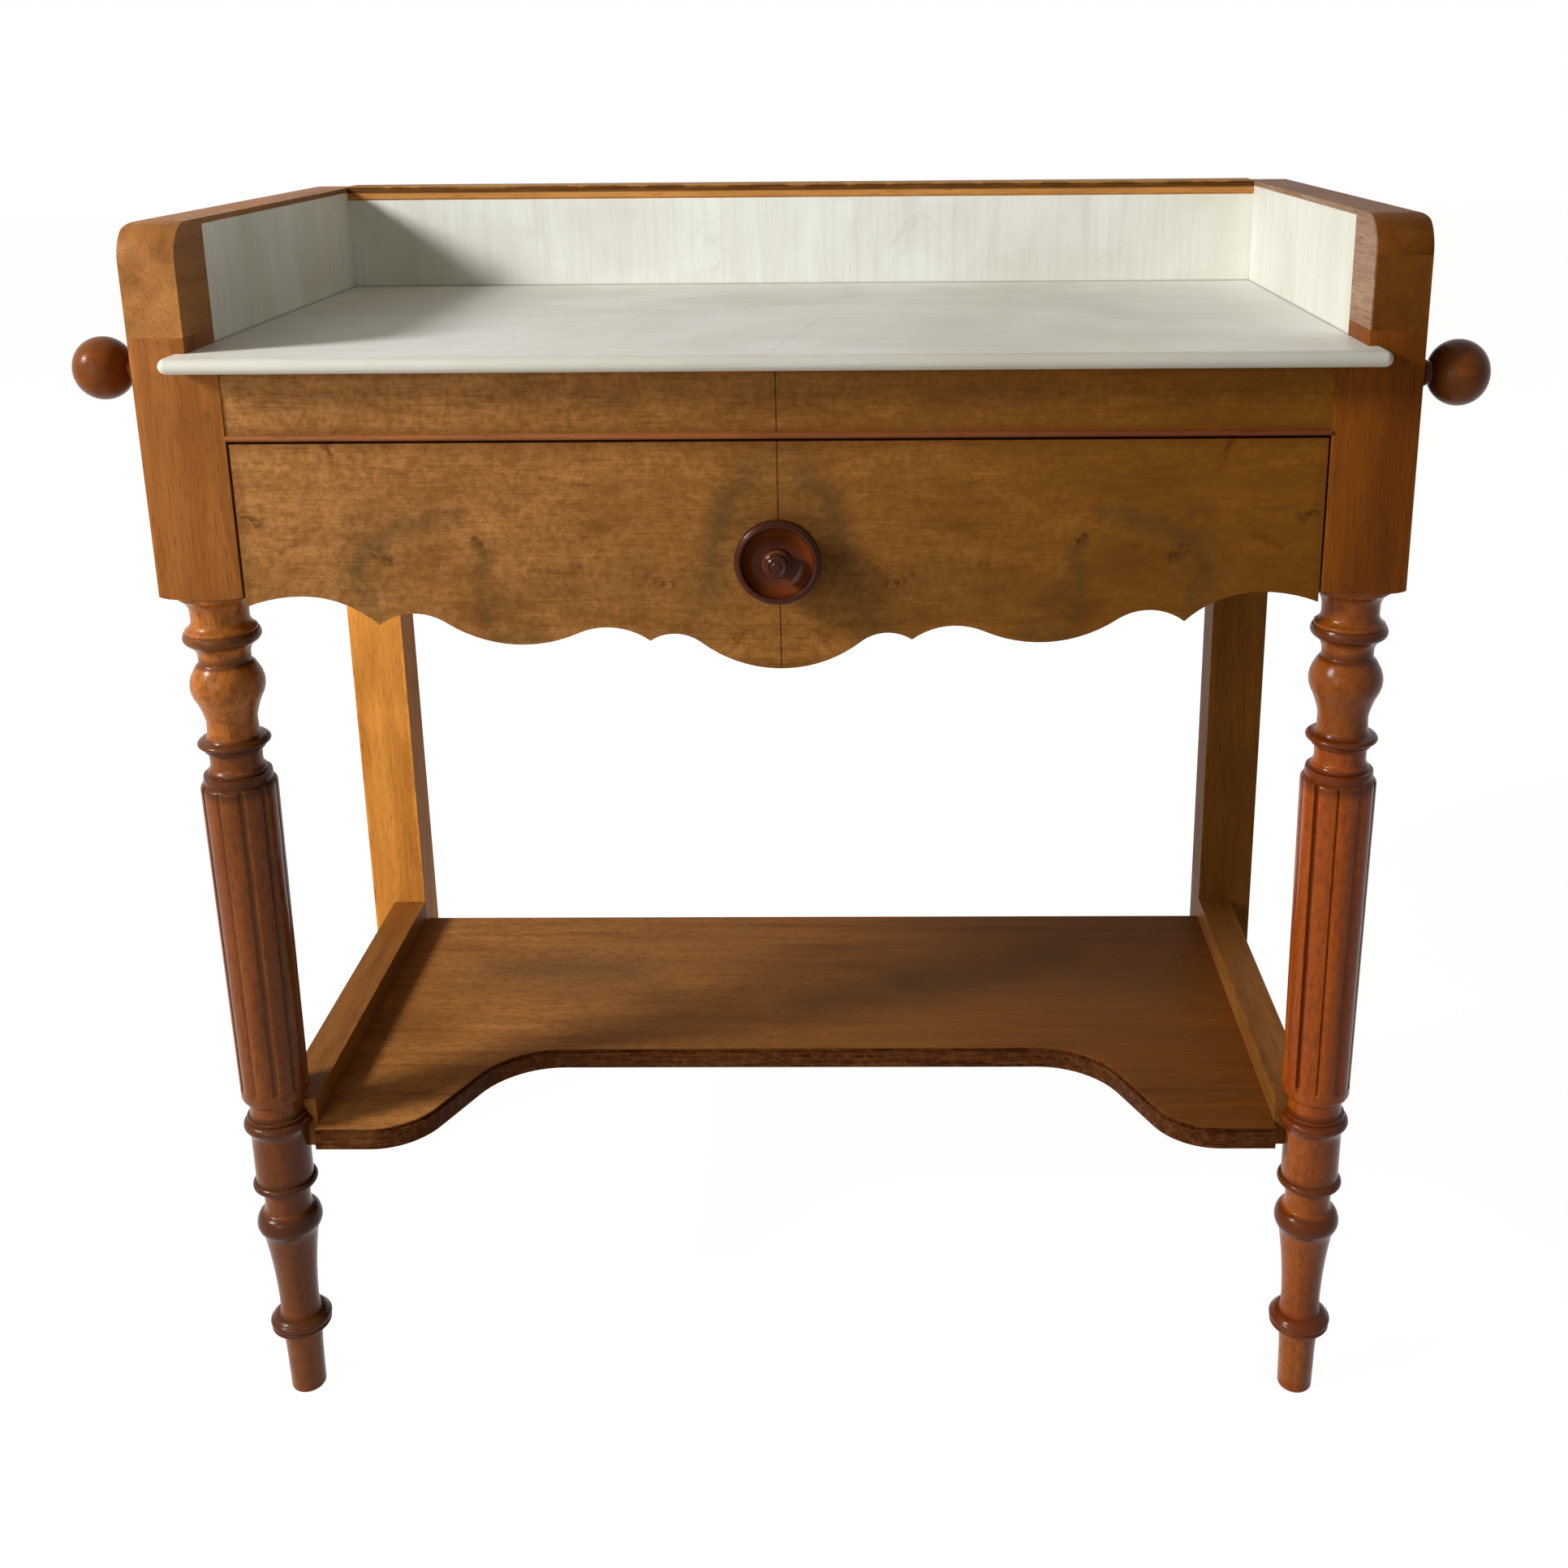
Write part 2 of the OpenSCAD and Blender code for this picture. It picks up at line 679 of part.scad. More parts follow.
// The front end is hollowed to fit round the turned leg.
module stretcher(side) sided(side) {
    difference() {
        union() {
            block([back_in, post / 2, stretcher_low],
                [back_in + stretcher_w, back_leg_y, stretcher_low + stretcher_h]);
            block(stretcher_tenon[0] - [0, e, 0], stretcher_tenon[1]);
        }
        translate([post_x, post / 2, 0]) leg_turning_solid(fit);
        block([back_in - 1, post + 4 - fit, shelf_z - shelf_t - fit],
            [back_in + housing, back_leg_y + 1, shelf_z - step_h + fit]);
    }
    translate([spigot_x, spigot_y, spigot_z]) rotate([-90, 0, 0])
        cylinder(r = spigot_r, h = post);
}

module stretcher_left() piece(BROWN) stretcher(-1);
module stretcher_right() piece(SHADE) stretcher(1);

// ---- Drawer guidance ----

module along_side(side, x0, x1, z0, z1) sided(side)
    block([x0, post + 2 * fit, z0], [x1, back_leg_y - 2 * fit, z1]);

module drawer_runner_left() piece(OAK)
    along_side(-1, runner_in, rail_in - fit, runner_low, runner_low + runner_t);
module drawer_runner_right() piece(OAK)
    along_side(1, runner_in, rail_in - fit, runner_low, runner_low + runner_t);
module drawer_guide_left() piece(OAK)
    along_side(-1, guide_in, rail_in - fit, guide_low, guide_low + guide_h);
module drawer_guide_right() piece(OAK)
    along_side(1, guide_in, rail_in - fit, guide_low, guide_low + guide_h);
module drawer_kicker_left() piece(OAK)
    along_side(-1, runner_in, rail_in - fit, kicker_low, kicker_low + kicker_t);
module drawer_kicker_right() piece(OAK)
    along_side(1, runner_in, rail_in - fit, kicker_low, kicker_low + kicker_t);

module drawer_stops() piece(OAK)
    for (side = [-1, 1]) sided(side)
        block([drawer_in - stop_w / 2, drawer_back_y + 0.3, side_low + stop_rise],
            [drawer_in + stop_w / 2, back_rail_y, side_low + stop_rise + stop_h]);

// ---- Drawer ----

// The point on the scallop where a lobe flows into a crest beside it.
function lobe_centre(l) = [l.x, l.z - l.y];
function crest_r(crest, lobe) =
    flowing_radii(crest.x - lobe.x, lobe.y - crest.y) - lobe.z;
function crest_centre(crest, r) = [crest.x, -crest.y - r];
function meeting(lobe, crest) =
    let (r = crest_r(crest, lobe))
    touch(lobe_centre(lobe), lobe.z, crest_centre(crest, r), r);

// The front's outline for the right half, with the drawer's top edge at zero:
// a deep blank, from which the crests and the corners below the lobes are cut.
module scalloped_half() {
    middle = SCALLOP_LOBES[0];
    outer = SCALLOP_LOBES[1];
    first = SCALLOP_CRESTS[0];
    second = SCALLOP_CRESTS[1];
    third = SCALLOP_CRESTS[2];
    radii = [crest_r(first, middle), crest_r(second, outer), crest_r(third, outer)];
    meets = [meeting(middle, first), meeting(outer, second), meeting(outer, third)];
    deep = -middle.y - 1;
    difference() {
        polygon([
            [0, 0], [drawer_half, 0], [drawer_half, -END_CREST.y - 10],
            [(third.x + END_CREST.x) / 2 - 12, -third.y - 11], meets[2],
            [meets[2].x, deep], [meets[1].x, deep], meets[1],
            [(first.x + second.x) / 2 - 6, -first.y - 8], meets[0],
            [meets[0].x, deep], [0, deep]
        ]);
        below_lobe(middle, -meets[0].x, meets[0].x, deep);
        below_lobe(outer, meets[1].x, meets[2].x, deep);
        translate(crest_centre(first, radii[0])) circle(radii[0]);
        translate(crest_centre(second, radii[1])) circle(radii[1]);
        translate(crest_centre(third, radii[2])) circle(radii[2]);
        translate(crest_centre(END_CREST, END_CREST_R[0])) circle(END_CREST_R[0]);
        intersection() {
            translate(crest_centre(END_CREST, END_CREST_R[1])) circle(END_CREST_R[1]);
            translate([END_CREST.x, -200]) square(200);
        }
    }
}

// What lies under a hanging lobe, between the points where it flows into its
// neighbours.
module below_lobe(lobe, x0, x1, deep)
    difference() {
        translate([x0 - 1, deep - 1]) square([x1 - x0 + 2, lobe_centre(lobe).y - deep]);
        translate(lobe_centre(lobe)) circle(lobe.z);
    }

// Places of the dovetails up the side, as the heights of their middles.
tail_pitch = drawer_side_h / dovetails;
tail_l = drawer_front_t - 6;
module tails(grow)
    for (i = [0 : dovetails - 1])
        translate([drawer_in - grow, drawer_in_y - tail_l, side_low + (i + 0.5) * tail_pitch])
            rotate([90, 0, 90]) linear_extrude(drawer_side_t + 2 * grow)
            polygon([
                [-grow, -8 - grow], [tail_l + grow, -5.5 - grow],
                [tail_l + grow, 5.5 + grow], [-grow, 8 + grow]
            ]);

// The bottom board's slab, used for the board and for its grooves.
module bottom_slab(grow)
    block([-drawer_in - bottom_groove + fit, drawer_in_y - bottom_groove + fit, bottom_low],
        [drawer_in + bottom_groove - fit, drawer_back_y, bottom_low + drawer_bottom_t], grow);

module drawer_front() piece(BROWN) {
    difference() {
        translate([0, drawer_in_y, drawer_top]) rotate([90, 0, 0])
            linear_extrude(drawer_front_t) union() {
                scalloped_half();
                mirror([1, 0]) scalloped_half();
            }
        for (side = [-1, 1]) sided(side) tails(fit);
        bottom_slab(fit);
        translate([0, drawer_y - 1, knob_z]) rotate([-90, 0, 0])
            cylinder(r = knob_spigot_r + fit, h = knob_spigot_l + 1 + fit);
    }
}

module drawer_side(side) sided(side) {
    difference() {
        union() {
            block([drawer_in, drawer_in_y, side_low], [drawer_half, drawer_back_y, side_top]);
            tails(0);
        }
        bottom_slab(fit);
        block([drawer_in - 1, drawer_back_y - drawer_side_t - fit, bottom_low - fit],
            [drawer_in + bottom_groove, drawer_back_y + 1, side_top - 5 + fit]);
    }
}

module drawer_side_left() piece(OAK) drawer_side(-1);
module drawer_side_right() piece(OAK) drawer_side(1);

module drawer_back() piece(OAK)
    block([-drawer_in - bottom_groove + fit, drawer_back_y - drawer_side_t,
            bottom_low + drawer_bottom_t + fit],
        [drawer_in + bottom_groove - fit, drawer_back_y, side_top - 5]);

module drawer_bottom() piece(OAK) bottom_slab(0);

// The knob's spigot stops short of the groove that holds the bottom board.
knob_spigot_r = 8;
knob_spigot_l = drawer_front_t - bottom_groove - 3;
knob_scale = knob_r / KNOB_TURNING[4].y;
module drawer_knob() piece(DARK)
    translate([0, drawer_y, knob_z]) rotate([90, 0, 0]) {
        rotate_extrude() polygon(turned_outline(
            [for (s = KNOB_TURNING) [s.x, s.y * knob_scale, s.z]]));
        translate([0, 0, -knob_spigot_l]) cylinder(r = knob_spigot_r, h = knob_spigot_l + e);
    }

// ---- Towel rods ----

// A rod is placed pushed in, for the right hand. At the end of its travel its
// pin stands a little short of the bearer.
rod_spare = 6;
pin_x = bearer_x - pin_r - rod_spare - rod_travel;
rod_in_x = pin_x - pin_in;
ball_x = half + neck_l + ball_half;
ball_spigot_l = 18;

module at_rod(side) {
    y = side < 0 ? rod_y_left : rod_y_right;
    out = side < 0 ? rod_out_left : 0;
    sided(side) translate([out, y, rod_z]) rotate([0, 90, 0]) children();
}

module towel_rod(side) at_rod(side)
    difference() {
        union() {
            translate([0, 0, rod_in_x]) cylinder(r = rod_r, h = half - rod_in_x);
            translate([0, 0, half - e]) cylinder(r = rod_r - 1, h = neck_l + ball_spigot_l);
        }
        translate([0, pin_l / 2, pin_x]) rotate([90, 0, 0]) cylinder(r = pin_r + fit / 2, h = pin_l);
    }

module towel_rod_left() piece(OAK) towel_rod(-1);
module towel_rod_right() piece(OAK) towel_rod(1);

// A slightly flattened ball on a short neck with a fine ring.
module rod_knob(side) at_rod(side)
    difference() {
        rotate_extrude() union() {
            flat = ball_r - ball_half;
            intersection() {
                union() {
                    translate([flat, ball_x]) circle(ball_half);
                    translate([0, ball_x - ball_half]) square([flat, 2 * ball_half]);
                }
                translate([0, half]) square(4 * ball_r);
            }
            translate([0, half + 3 * fit]) square([rod_r + 1.5, neck_l + 2]);
            translate([rod_r + 1, half + neck_l - 2.5]) circle(1.5);
        }
        translate([0, 0, half])
            cylinder(r = rod_r - 1 + fit / 2, h = neck_l + ball_spigot_l + fit);
    }

module rod_knob_left() piece(DARK) rod_knob(-1);
module rod_knob_right() piece(DARK) rod_knob(1);

module rod_pin(side) at_rod(side)
    translate([0, pin_l / 2, pin_x]) rotate([90, 0, 0]) cylinder(r = pin_r, h = pin_l);

module rod_pin_left() piece(STEEL) rod_pin(-1);
module rod_pin_right() piece(STEEL) rod_pin(1);

// The bearers run from the frieze rail to the back rail, just under the slab.
module rod_bearer(side, rod_y) sided(side)
    difference() {
        block([bearer_x, frieze_in_y + fit, carcass_top - bearer_h],
            [bearer_x + bearer_w, back_rail_y - fit, carcass_top - 3 * fit]);
        translate([bearer_x - 1, rod_y, rod_z]) rotate([0, 90, 0])
            cylinder(r = rod_r + rod_clear, h = bearer_w + 2);
    }

module rod_bearer_left() piece(OAK) rod_bearer(-1, rod_y_left);
module rod_bearer_right() piece(OAK) rod_bearer(1, rod_y_right);

leg_front_left();
leg_front_right();
leg_back_left();
leg_back_right();
side_rail_left();
side_rail_right();
back_rail();
frieze_rail();
cock_bead();
marble_top();
marble_back();
marble_side_left();
marble_side_right();
gallery_side_left();
gallery_side_right();
gallery_back_board();
gallery_back_rail();
gallery_dowels();
back_board_screws();
shelf();
stretcher_left();
stretcher_right();
drawer_runner_left();
drawer_runner_right();
drawer_guide_left();
drawer_guide_right();
drawer_kicker_left();
drawer_kicker_right();
drawer_stops();
rod_bearer_left();
rod_bearer_right();
drawer_front();
drawer_side_left();
drawer_side_right();
drawer_back();
drawer_bottom();
drawer_knob();
towel_rod_left();
towel_rod_right();
rod_knob_left();
rod_knob_right();
rod_pin_left();
rod_pin_right();
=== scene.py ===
"""Washstand with a marble top: the finish of every piece, the turned legs and knob, and the studio."""

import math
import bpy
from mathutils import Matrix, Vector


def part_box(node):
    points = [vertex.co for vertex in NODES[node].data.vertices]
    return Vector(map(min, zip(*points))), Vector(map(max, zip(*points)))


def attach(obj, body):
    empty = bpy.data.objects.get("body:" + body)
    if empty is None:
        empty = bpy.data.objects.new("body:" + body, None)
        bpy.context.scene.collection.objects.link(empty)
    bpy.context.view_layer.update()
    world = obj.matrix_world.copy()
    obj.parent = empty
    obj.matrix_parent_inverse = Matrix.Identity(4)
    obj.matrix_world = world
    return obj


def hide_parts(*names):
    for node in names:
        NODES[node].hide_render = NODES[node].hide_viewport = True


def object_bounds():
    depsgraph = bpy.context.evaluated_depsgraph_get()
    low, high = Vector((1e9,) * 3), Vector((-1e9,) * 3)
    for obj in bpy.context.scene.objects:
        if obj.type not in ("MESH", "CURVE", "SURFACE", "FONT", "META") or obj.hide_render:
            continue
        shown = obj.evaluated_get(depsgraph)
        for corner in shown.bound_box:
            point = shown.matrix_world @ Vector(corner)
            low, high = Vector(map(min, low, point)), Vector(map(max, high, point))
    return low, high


bl_info = {
    "name": "Washstand with Marble Top",
    "version": (1, 0, 0),
    "blender": (4, 5, 0),
    "location": "3D View > Sidebar > Washstand",
    "description": "Finishes the pieces of a washstand with a marble top and lights it in a pale studio",
    "category": "Object",
}

import bmesh
import bpy
from bpy.props import FloatProperty, FloatVectorProperty, IntProperty, PointerProperty
from mathutils import Matrix, Vector

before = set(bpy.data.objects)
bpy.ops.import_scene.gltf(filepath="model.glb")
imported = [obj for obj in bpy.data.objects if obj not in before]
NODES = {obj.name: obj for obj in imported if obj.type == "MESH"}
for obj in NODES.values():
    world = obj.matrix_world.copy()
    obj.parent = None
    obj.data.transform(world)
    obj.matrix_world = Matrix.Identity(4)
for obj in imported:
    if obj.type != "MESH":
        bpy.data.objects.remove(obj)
CAD_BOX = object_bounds()
MM = 0.001


def tone(red, green, blue):
    """A colour written as it looks on screen, from 0 to 255, as linear light."""
    def linear(v):
        v /= 255
        return v / 12.92 if v <= 0.04045 else ((v + 0.055) / 1.055) ** 2.4
    return linear(red), linear(green), linear(blue)


# ---- Settings ----


class StageSettings(bpy.types.PropertyGroup):
    """Where the camera and the lamps stand, and how bright the room is."""

    place: FloatVectorProperty(
        name="Camera place", description="Where the camera stands",
        default=(0.0783, -1.23855, 0.9473), unit="LENGTH", subtype="TRANSLATION")
    tilt: FloatProperty(
        name="Tilt", description="How far the camera looks down",
        default=0.2818, unit="ROTATION", subtype="ANGLE")
    turn: FloatProperty(
        name="Turn", description="How far the camera is turned to the right",
        default=-0.0124, unit="ROTATION", subtype="ANGLE")
    roll: FloatProperty(
        name="Roll", description="How far the camera leans clockwise",
        default=0.0085, unit="ROTATION", subtype="ANGLE")
    lens: FloatProperty(
        name="Lens", description="Focal length on a 36 mm wide picture, in millimetres",
        default=39.62)
    shift: FloatVectorProperty(
        name="Shift", description="Shift of the picture across and up, as a share of its width",
        size=2, default=(-0.0508, -0.1304))
    lamp_aim: FloatVectorProperty(
        name="Lamp aim", description="The point that the main lamp shines at",
        default=(-0.3, 0, 0.8), unit="LENGTH", subtype="TRANSLATION")
    lamp_from: FloatVectorProperty(
        name="Lamp direction", description="Direction from that point to the main lamp",
        default=(-0.77, -0.44, 0.455), subtype="XYZ")
    lamp_distance: FloatProperty(
        name="Lamp distance", description="How far the main lamp stands from that point",
        default=2.6, unit="LENGTH", subtype="DISTANCE")
    lamp_width: FloatProperty(
        name="Lamp width", description="Width of the round main lamp",
        default=0.66, unit="LENGTH", subtype="DISTANCE")
    lamp_watts: FloatProperty(
        name="Lamp power", description="Power of the main lamp", default=94, unit="POWER")
    side_place: FloatVectorProperty(
        name="Side lamp place", description="Where the soft lamp in front on the left stands",
        default=(-0.95, -1.45, 0.84), unit="LENGTH", subtype="TRANSLATION")
    side_width: FloatProperty(
        name="Side lamp width", description="Width of the soft lamp",
        default=0.9, unit="LENGTH", subtype="DISTANCE")
    side_watts: FloatProperty(
        name="Side lamp power", description="Power of the soft lamp", default=7, unit="POWER")
    room: FloatProperty(
        name="Room light", description="Strength of the even light all round", default=0.15)
    room_tone: FloatVectorProperty(
        name="Room tone", description="Colour of the even light all round",
        subtype="COLOR", default=(1, 0.89, 0.64))
    floor_glow: FloatProperty(
        name="Floor white", description="How white the floor stays in the shadow", default=0.965)


class WoodSettings(bpy.types.PropertyGroup):
    """The colours of the woods, and how their edges are rounded."""

    honey: FloatVectorProperty(
        name="Honey", description="Wood of the left post, side rail and gallery side",
        subtype="COLOR", default=tone(151, 93, 41))
    # The brown of the right-hand pieces is darker than the honey of the left-hand ones partly as painted
    # shade for the weaker light on the right.
    brown: FloatVectorProperty(
        name="Brown", description="Wood of the right post, side rail and gallery side",
        subtype="COLOR", default=tone(119, 64, 14))
    turned_left: FloatVectorProperty(
        name="Left turning", description="Wood of the turned parts of the left leg",
        subtype="COLOR", default=tone(124, 66, 18))
    turned_right: FloatVectorProperty(
        name="Right turning", description="Wood of the turned parts of the right leg",
        subtype="COLOR", default=tone(156, 74, 14))
    # The right-hand veneer and shelf colours are darker than the left-hand ones partly as painted shade for
    # the weaker light on the right.
    veneer_left: FloatVectorProperty(
        name="Left veneer", description="Veneer of the drawer and the frieze at their left end",
        subtype="COLOR", default=tone(160, 110, 60))
    veneer_right: FloatVectorProperty(
        name="Right veneer", description="Veneer of the drawer and the frieze at their right end",
        subtype="COLOR", default=tone(122, 75, 20))
    shelf_left: FloatVectorProperty(
        name="Shelf, left", description="Wood of the shelf at its left end",
        subtype="COLOR", default=tone(168, 114, 60))
    shelf_right: FloatVectorProperty(
        name="Shelf, right", description="Wood of the shelf at its right end",
        subtype="COLOR", default=tone(105, 58, 8))
    ball: FloatVectorProperty(
        name="Ball knobs", description="Wood of the rods' ball knobs",
        subtype="COLOR", default=tone(124, 68, 20))
    mahogany: FloatVectorProperty(
        name="Mahogany", description="Dark red wood of the drawer's knob, the bead and the shelf's edge",
        subtype="COLOR", default=tone(98, 46, 18))
    golden: FloatVectorProperty(
        name="Golden", description="Wood of the left back leg and the cap rail",
        subtype="COLOR", default=tone(220, 148, 64))
    amber: FloatVectorProperty(
        name="Amber", description="Wood of the stretchers",
        subtype="COLOR", default=tone(136, 86, 36))
    inner: FloatVectorProperty(
        name="Inner wood", description="Bare wood inside the carcass and the drawer",
        subtype="COLOR", default=tone(186, 148, 98))
    shaded: FloatVectorProperty(
        name="Shaded", description="Old wood at the back and of the right back leg",
        subtype="COLOR", default=tone(106, 60, 22))
    rounding: FloatProperty(
        name="Edge rounding", description="Width of the rounded edges of boards",
        default=0.0007, unit="LENGTH", subtype="DISTANCE")


class MarbleSettings(bpy.types.PropertyGroup):
    """The colours of the marble and the width of its eased edges."""

    ground: FloatVectorProperty(
        name="Ground", description="Colour of the clean stone",
        subtype="COLOR", default=tone(238, 239, 235))
    cloud: FloatVectorProperty(
        name="Cloud", description="Colour of the darker clouds in the stone",
        subtype="COLOR", default=tone(212, 210, 198))
    vein: FloatVectorProperty(
        name="Vein", description="Colour of the fine veins and saw lines",
        subtype="COLOR", default=tone(160, 156, 144))
    stain: FloatVectorProperty(
        name="Stain", description="Colour of the yellowed patches",
        subtype="COLOR", default=tone(220, 217, 198))
    front: FloatProperty(
        name="Worn front", description="The rounded edge is worn in front of this place",
        default=-0.2, unit="LENGTH", subtype="DISTANCE")
    soil: FloatProperty(
        name="Wear", description="How much darker the worn front edge is, from 0 to 1",
        default=0.45)
    rounding: FloatProperty(
        name="Edge rounding", description="Width of the eased edges of the slabs",
        default=0.0006, unit="LENGTH", subtype="DISTANCE")


class TurningSettings(bpy.types.PropertyGroup):
    """How finely the turned pieces are made, and their reeds."""

    steps: IntProperty(
        name="Steps", description="Steps round a turned leg, as a multiple of its reeds",
        default=240)
    knob_steps: IntProperty(
        name="Knob steps", description="Steps round the drawer's knob", default=96)
    reeds: IntProperty(
        name="Reeds", description="Reeds round a leg's shaft", default=10)
    crown: FloatProperty(
        name="Crown", description="How far the middle of a reed stands above its sides",
        default=0.0008, unit="LENGTH", subtype="DISTANCE")


# ---- Turned shapes ----

# Height, radius, and how far the stretch up to the next station bows out, in
# millimetres. The foot counts up from the floor, the head down from the post,
# and the knob out from the drawer's front.
POST_LOW = 629
FOOT_TURNING = [
    (0, 0, 0), (0, 10.8, 0.7), (3.5, 12.5, 0), (26, 13, -0.3), (53.5, 14.4, 0), (54.8, 19.6, 1.4),
    (58.6, 20.6, 0), (58.9, 20.8, 1.5), (64, 20.2, 0.6), (67.5, 15.2, 0), (72, 13.9, -1.2),
    (134, 18.8, -0.2), (141.3, 21.2, 0), (141.8, 21.9, 0.9), (150.6, 22.3, 0.8),
    (156.5, 17.6, -0.3), (159, 16.4, -0.5), (174.8, 17, 0), (176.2, 20.4, 2), (182.4, 21.2, 0),
    (182.8, 20.1, 0), (221, 20.1, 0), (225.4, 21.6, 2.3), (233.4, 22.3, 0), (234, 20.8, 0.5),
    (236.8, 20.9, 0), (237.3, 19.4, -0.5), (248.5, 19.2, 0.7), (253.5, 23.4, 0),
]
HEAD_TURNING = [
    (-139, 25.2, 0.5), (-135.5, 23.4, 0), (-135, 22.5, 0.3), (-129, 22.2, 0),
    (-128.5, 19.4, 0.6), (-124.5, 17.8, -0.2), (-120, 17.1, 0), (-113, 17.3, 0),
    (-112.3, 19.2, 0.6), (-109.5, 19.6, 0), (-109, 21.6, 2), (-104.2, 22, 0),
    (-103.8, 18.4, -0.4), (-99, 16.8, 0), (-91, 16.5, -0.4), (-77, 20.8, 3.5),
    (-54.5, 20.6, 0.2), (-50.5, 17.7, -0.3), (-48, 16.9, 0), (-45, 16.9, -0.7), (-38, 20, 0),
    (-36.3, 22.4, 1.9), (-28.6, 24.1, 0), (-28.3, 23.2, 0.2), (-26.3, 22.9, -1.4),
    (-18.5, 18.7, 0), (-13, 18.9, -1.3), (-4, 25, 0), (0, 26, 0),
]
KNOB_TURNING = [
    (-1, 13.5, 0), (1.5, 13.5, -0.8), (5, 11.8, -2), (11.5, 24, 1.5), (17, 27, 1.2),
    (21.5, 25.2, 0.4), (22.3, 24, 0), (22, 23.2, 0), (21, 22.8, -2.4), (14.5, 9.5, -0.3),
    (16, 7.8, 0), (20.5, 7.8, 0), (21.5, 9, 0.5), (24.8, 9, 0), (26, 7.4, 0.3), (28.8, 6.8, 0),
    (29.8, 5.4, 0), (29.3, 3.8, 0), (29.6, 3, 0), (30.5, 2.2, 0), (30.5, 0, 0),
]
# Steps along a bowed stretch, and the longest step along a straight one, in millimetres.
BOW_STEPS = 6
LONGEST_STEP = 6
# Darkened rings on a leg's turning, from and to a height in millimetres, and
# how softly they begin and end. The darkening is old dirt, and in the hollows
# beside the rings painted shade as well.
RINGS = [
    (52, 68), (139, 156), (174, 184), (222, 240), (POST_LOW - 142, POST_LOW - 126),
    (POST_LOW - 113, POST_LOW - 102), (POST_LOW - 52, POST_LOW - 45), (POST_LOW - 37, POST_LOW - 28),
]
RING_SOFTNESS = 1.5
# Stretches of a leg with a shade of their own, in millimetres above the floor.
TIP = (10, 52)
VASE = (72, 222)
BULB = (POST_LOW - 104, POST_LOW)
# The knob's lighter dish, between two radii in millimetres.
DISH = (9, 22.7)
# Loops along the shaft and along the reeds' lower ends. In millimetres: how far
# above the shaft's foot the reeds begin, how long their rounded ends are, and
# how far the reeds run past the shaft's shoulder.
SHAFT_LOOPS = 12
END_LOOPS = 5
REED_RISE = 6
REED_END = 4
REED_PAST = 0.2
# How far the reeds are turned round the shaft, in degrees.
LEFT_TURN = -14
RIGHT_TURN = -12
# Width and depth of the grooves between the reeds, in millimetres, counted
# counterclockwise from the first one. They were cut by hand and differ.
GROOVE = (3.2, 1.2)
LEFT_GROOVES = {0: (2.2, 0.4), 1: (4.4, 0.9), 2: (3.8, 1.1), 3: (3, 1.2), 9: (3.6, 2.2)}
RIGHT_GROOVES = {0: (2.2, 0.9), 1: (4.4, 0.9), 2: (2.8, 1.3), 8: (2.6, 1), 9: (3.6, 2.4)}

# Distances, in metres, under which points count as one or as lying on a plane.
SEAM_REACH = 1e-6
TOUCH = 1e-5
ON_PLANE = 1e-7
# Angles in degrees: faces that count as flat, edges that look sharp on turned
# wood, and corners that are eased, with the steps of an eased edge.
FLAT_ANGLE = 0.5
SHARP_ANGLE = 35
CORNER_ANGLE = 40
EDGE_STEPS = 2
# How far a post reaches down into its turning, in millimetres.
POST_LAP = 0.05


def bowed(stations):
    """Points of a turned profile, as height and radius, along its bowed stretches."""
    points = []
    for (z0, r0, bow), (z1, r1, _) in zip(stations, stations[1:]):
        run = Vector((z1 - z0, r1 - r0))
        out = Vector((-run.y, run.x)).normalized()
        count = BOW_STEPS if bow else max(1, math.ceil(run.length / LONGEST_STEP))
        for i in range(count):
            t = i / count
            points.append(Vector((z0, r0)) + run * t + out * (4 * bow * t * (1 - t)))
    points.append(Vector(stations[-1][:2]))
    return points


def turned(profile, steps):
    """Spins a profile of heights and radii, in millimetres, about the Z axis."""
    bm = bmesh.new()
    verts = [bm.verts.new((max(p.y, 0) * MM, 0, p.x * MM)) for p in profile]
    edges = [bm.edges.new(pair) for pair in zip(verts, verts[1:])]
    bmesh.ops.spin(
        bm, geom=verts + edges, cent=(0, 0, 0), axis=(0, 0, 1), dvec=(0, 0, 0),
        angle=math.tau, steps=steps, use_merge=True, use_duplicate=False)
    bmesh.ops.remove_doubles(bm, verts=bm.verts, dist=SEAM_REACH)
    bmesh.ops.recalc_face_normals(bm, faces=bm.faces)
    return bm


def finished(bm, name, body, node):
    """Makes an object of a bmesh in its place, smooth but for its sharp edges."""
    mesh = bpy.data.meshes.new(name)
    bm.to_mesh(mesh)
    bm.free()
    old_normals = mesh.attributes.get("custom_normal")
    if old_normals:
        mesh.attributes.remove(old_normals)
    mesh.shade_smooth()
    mesh.set_sharp_from_angle(angle=math.radians(SHARP_ANGLE))
    piece = bpy.data.objects.new(name, mesh)
    bpy.context.scene.collection.objects.link(piece)
    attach(piece, body)
    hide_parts(node)
    return piece


# ---- Finishes ----


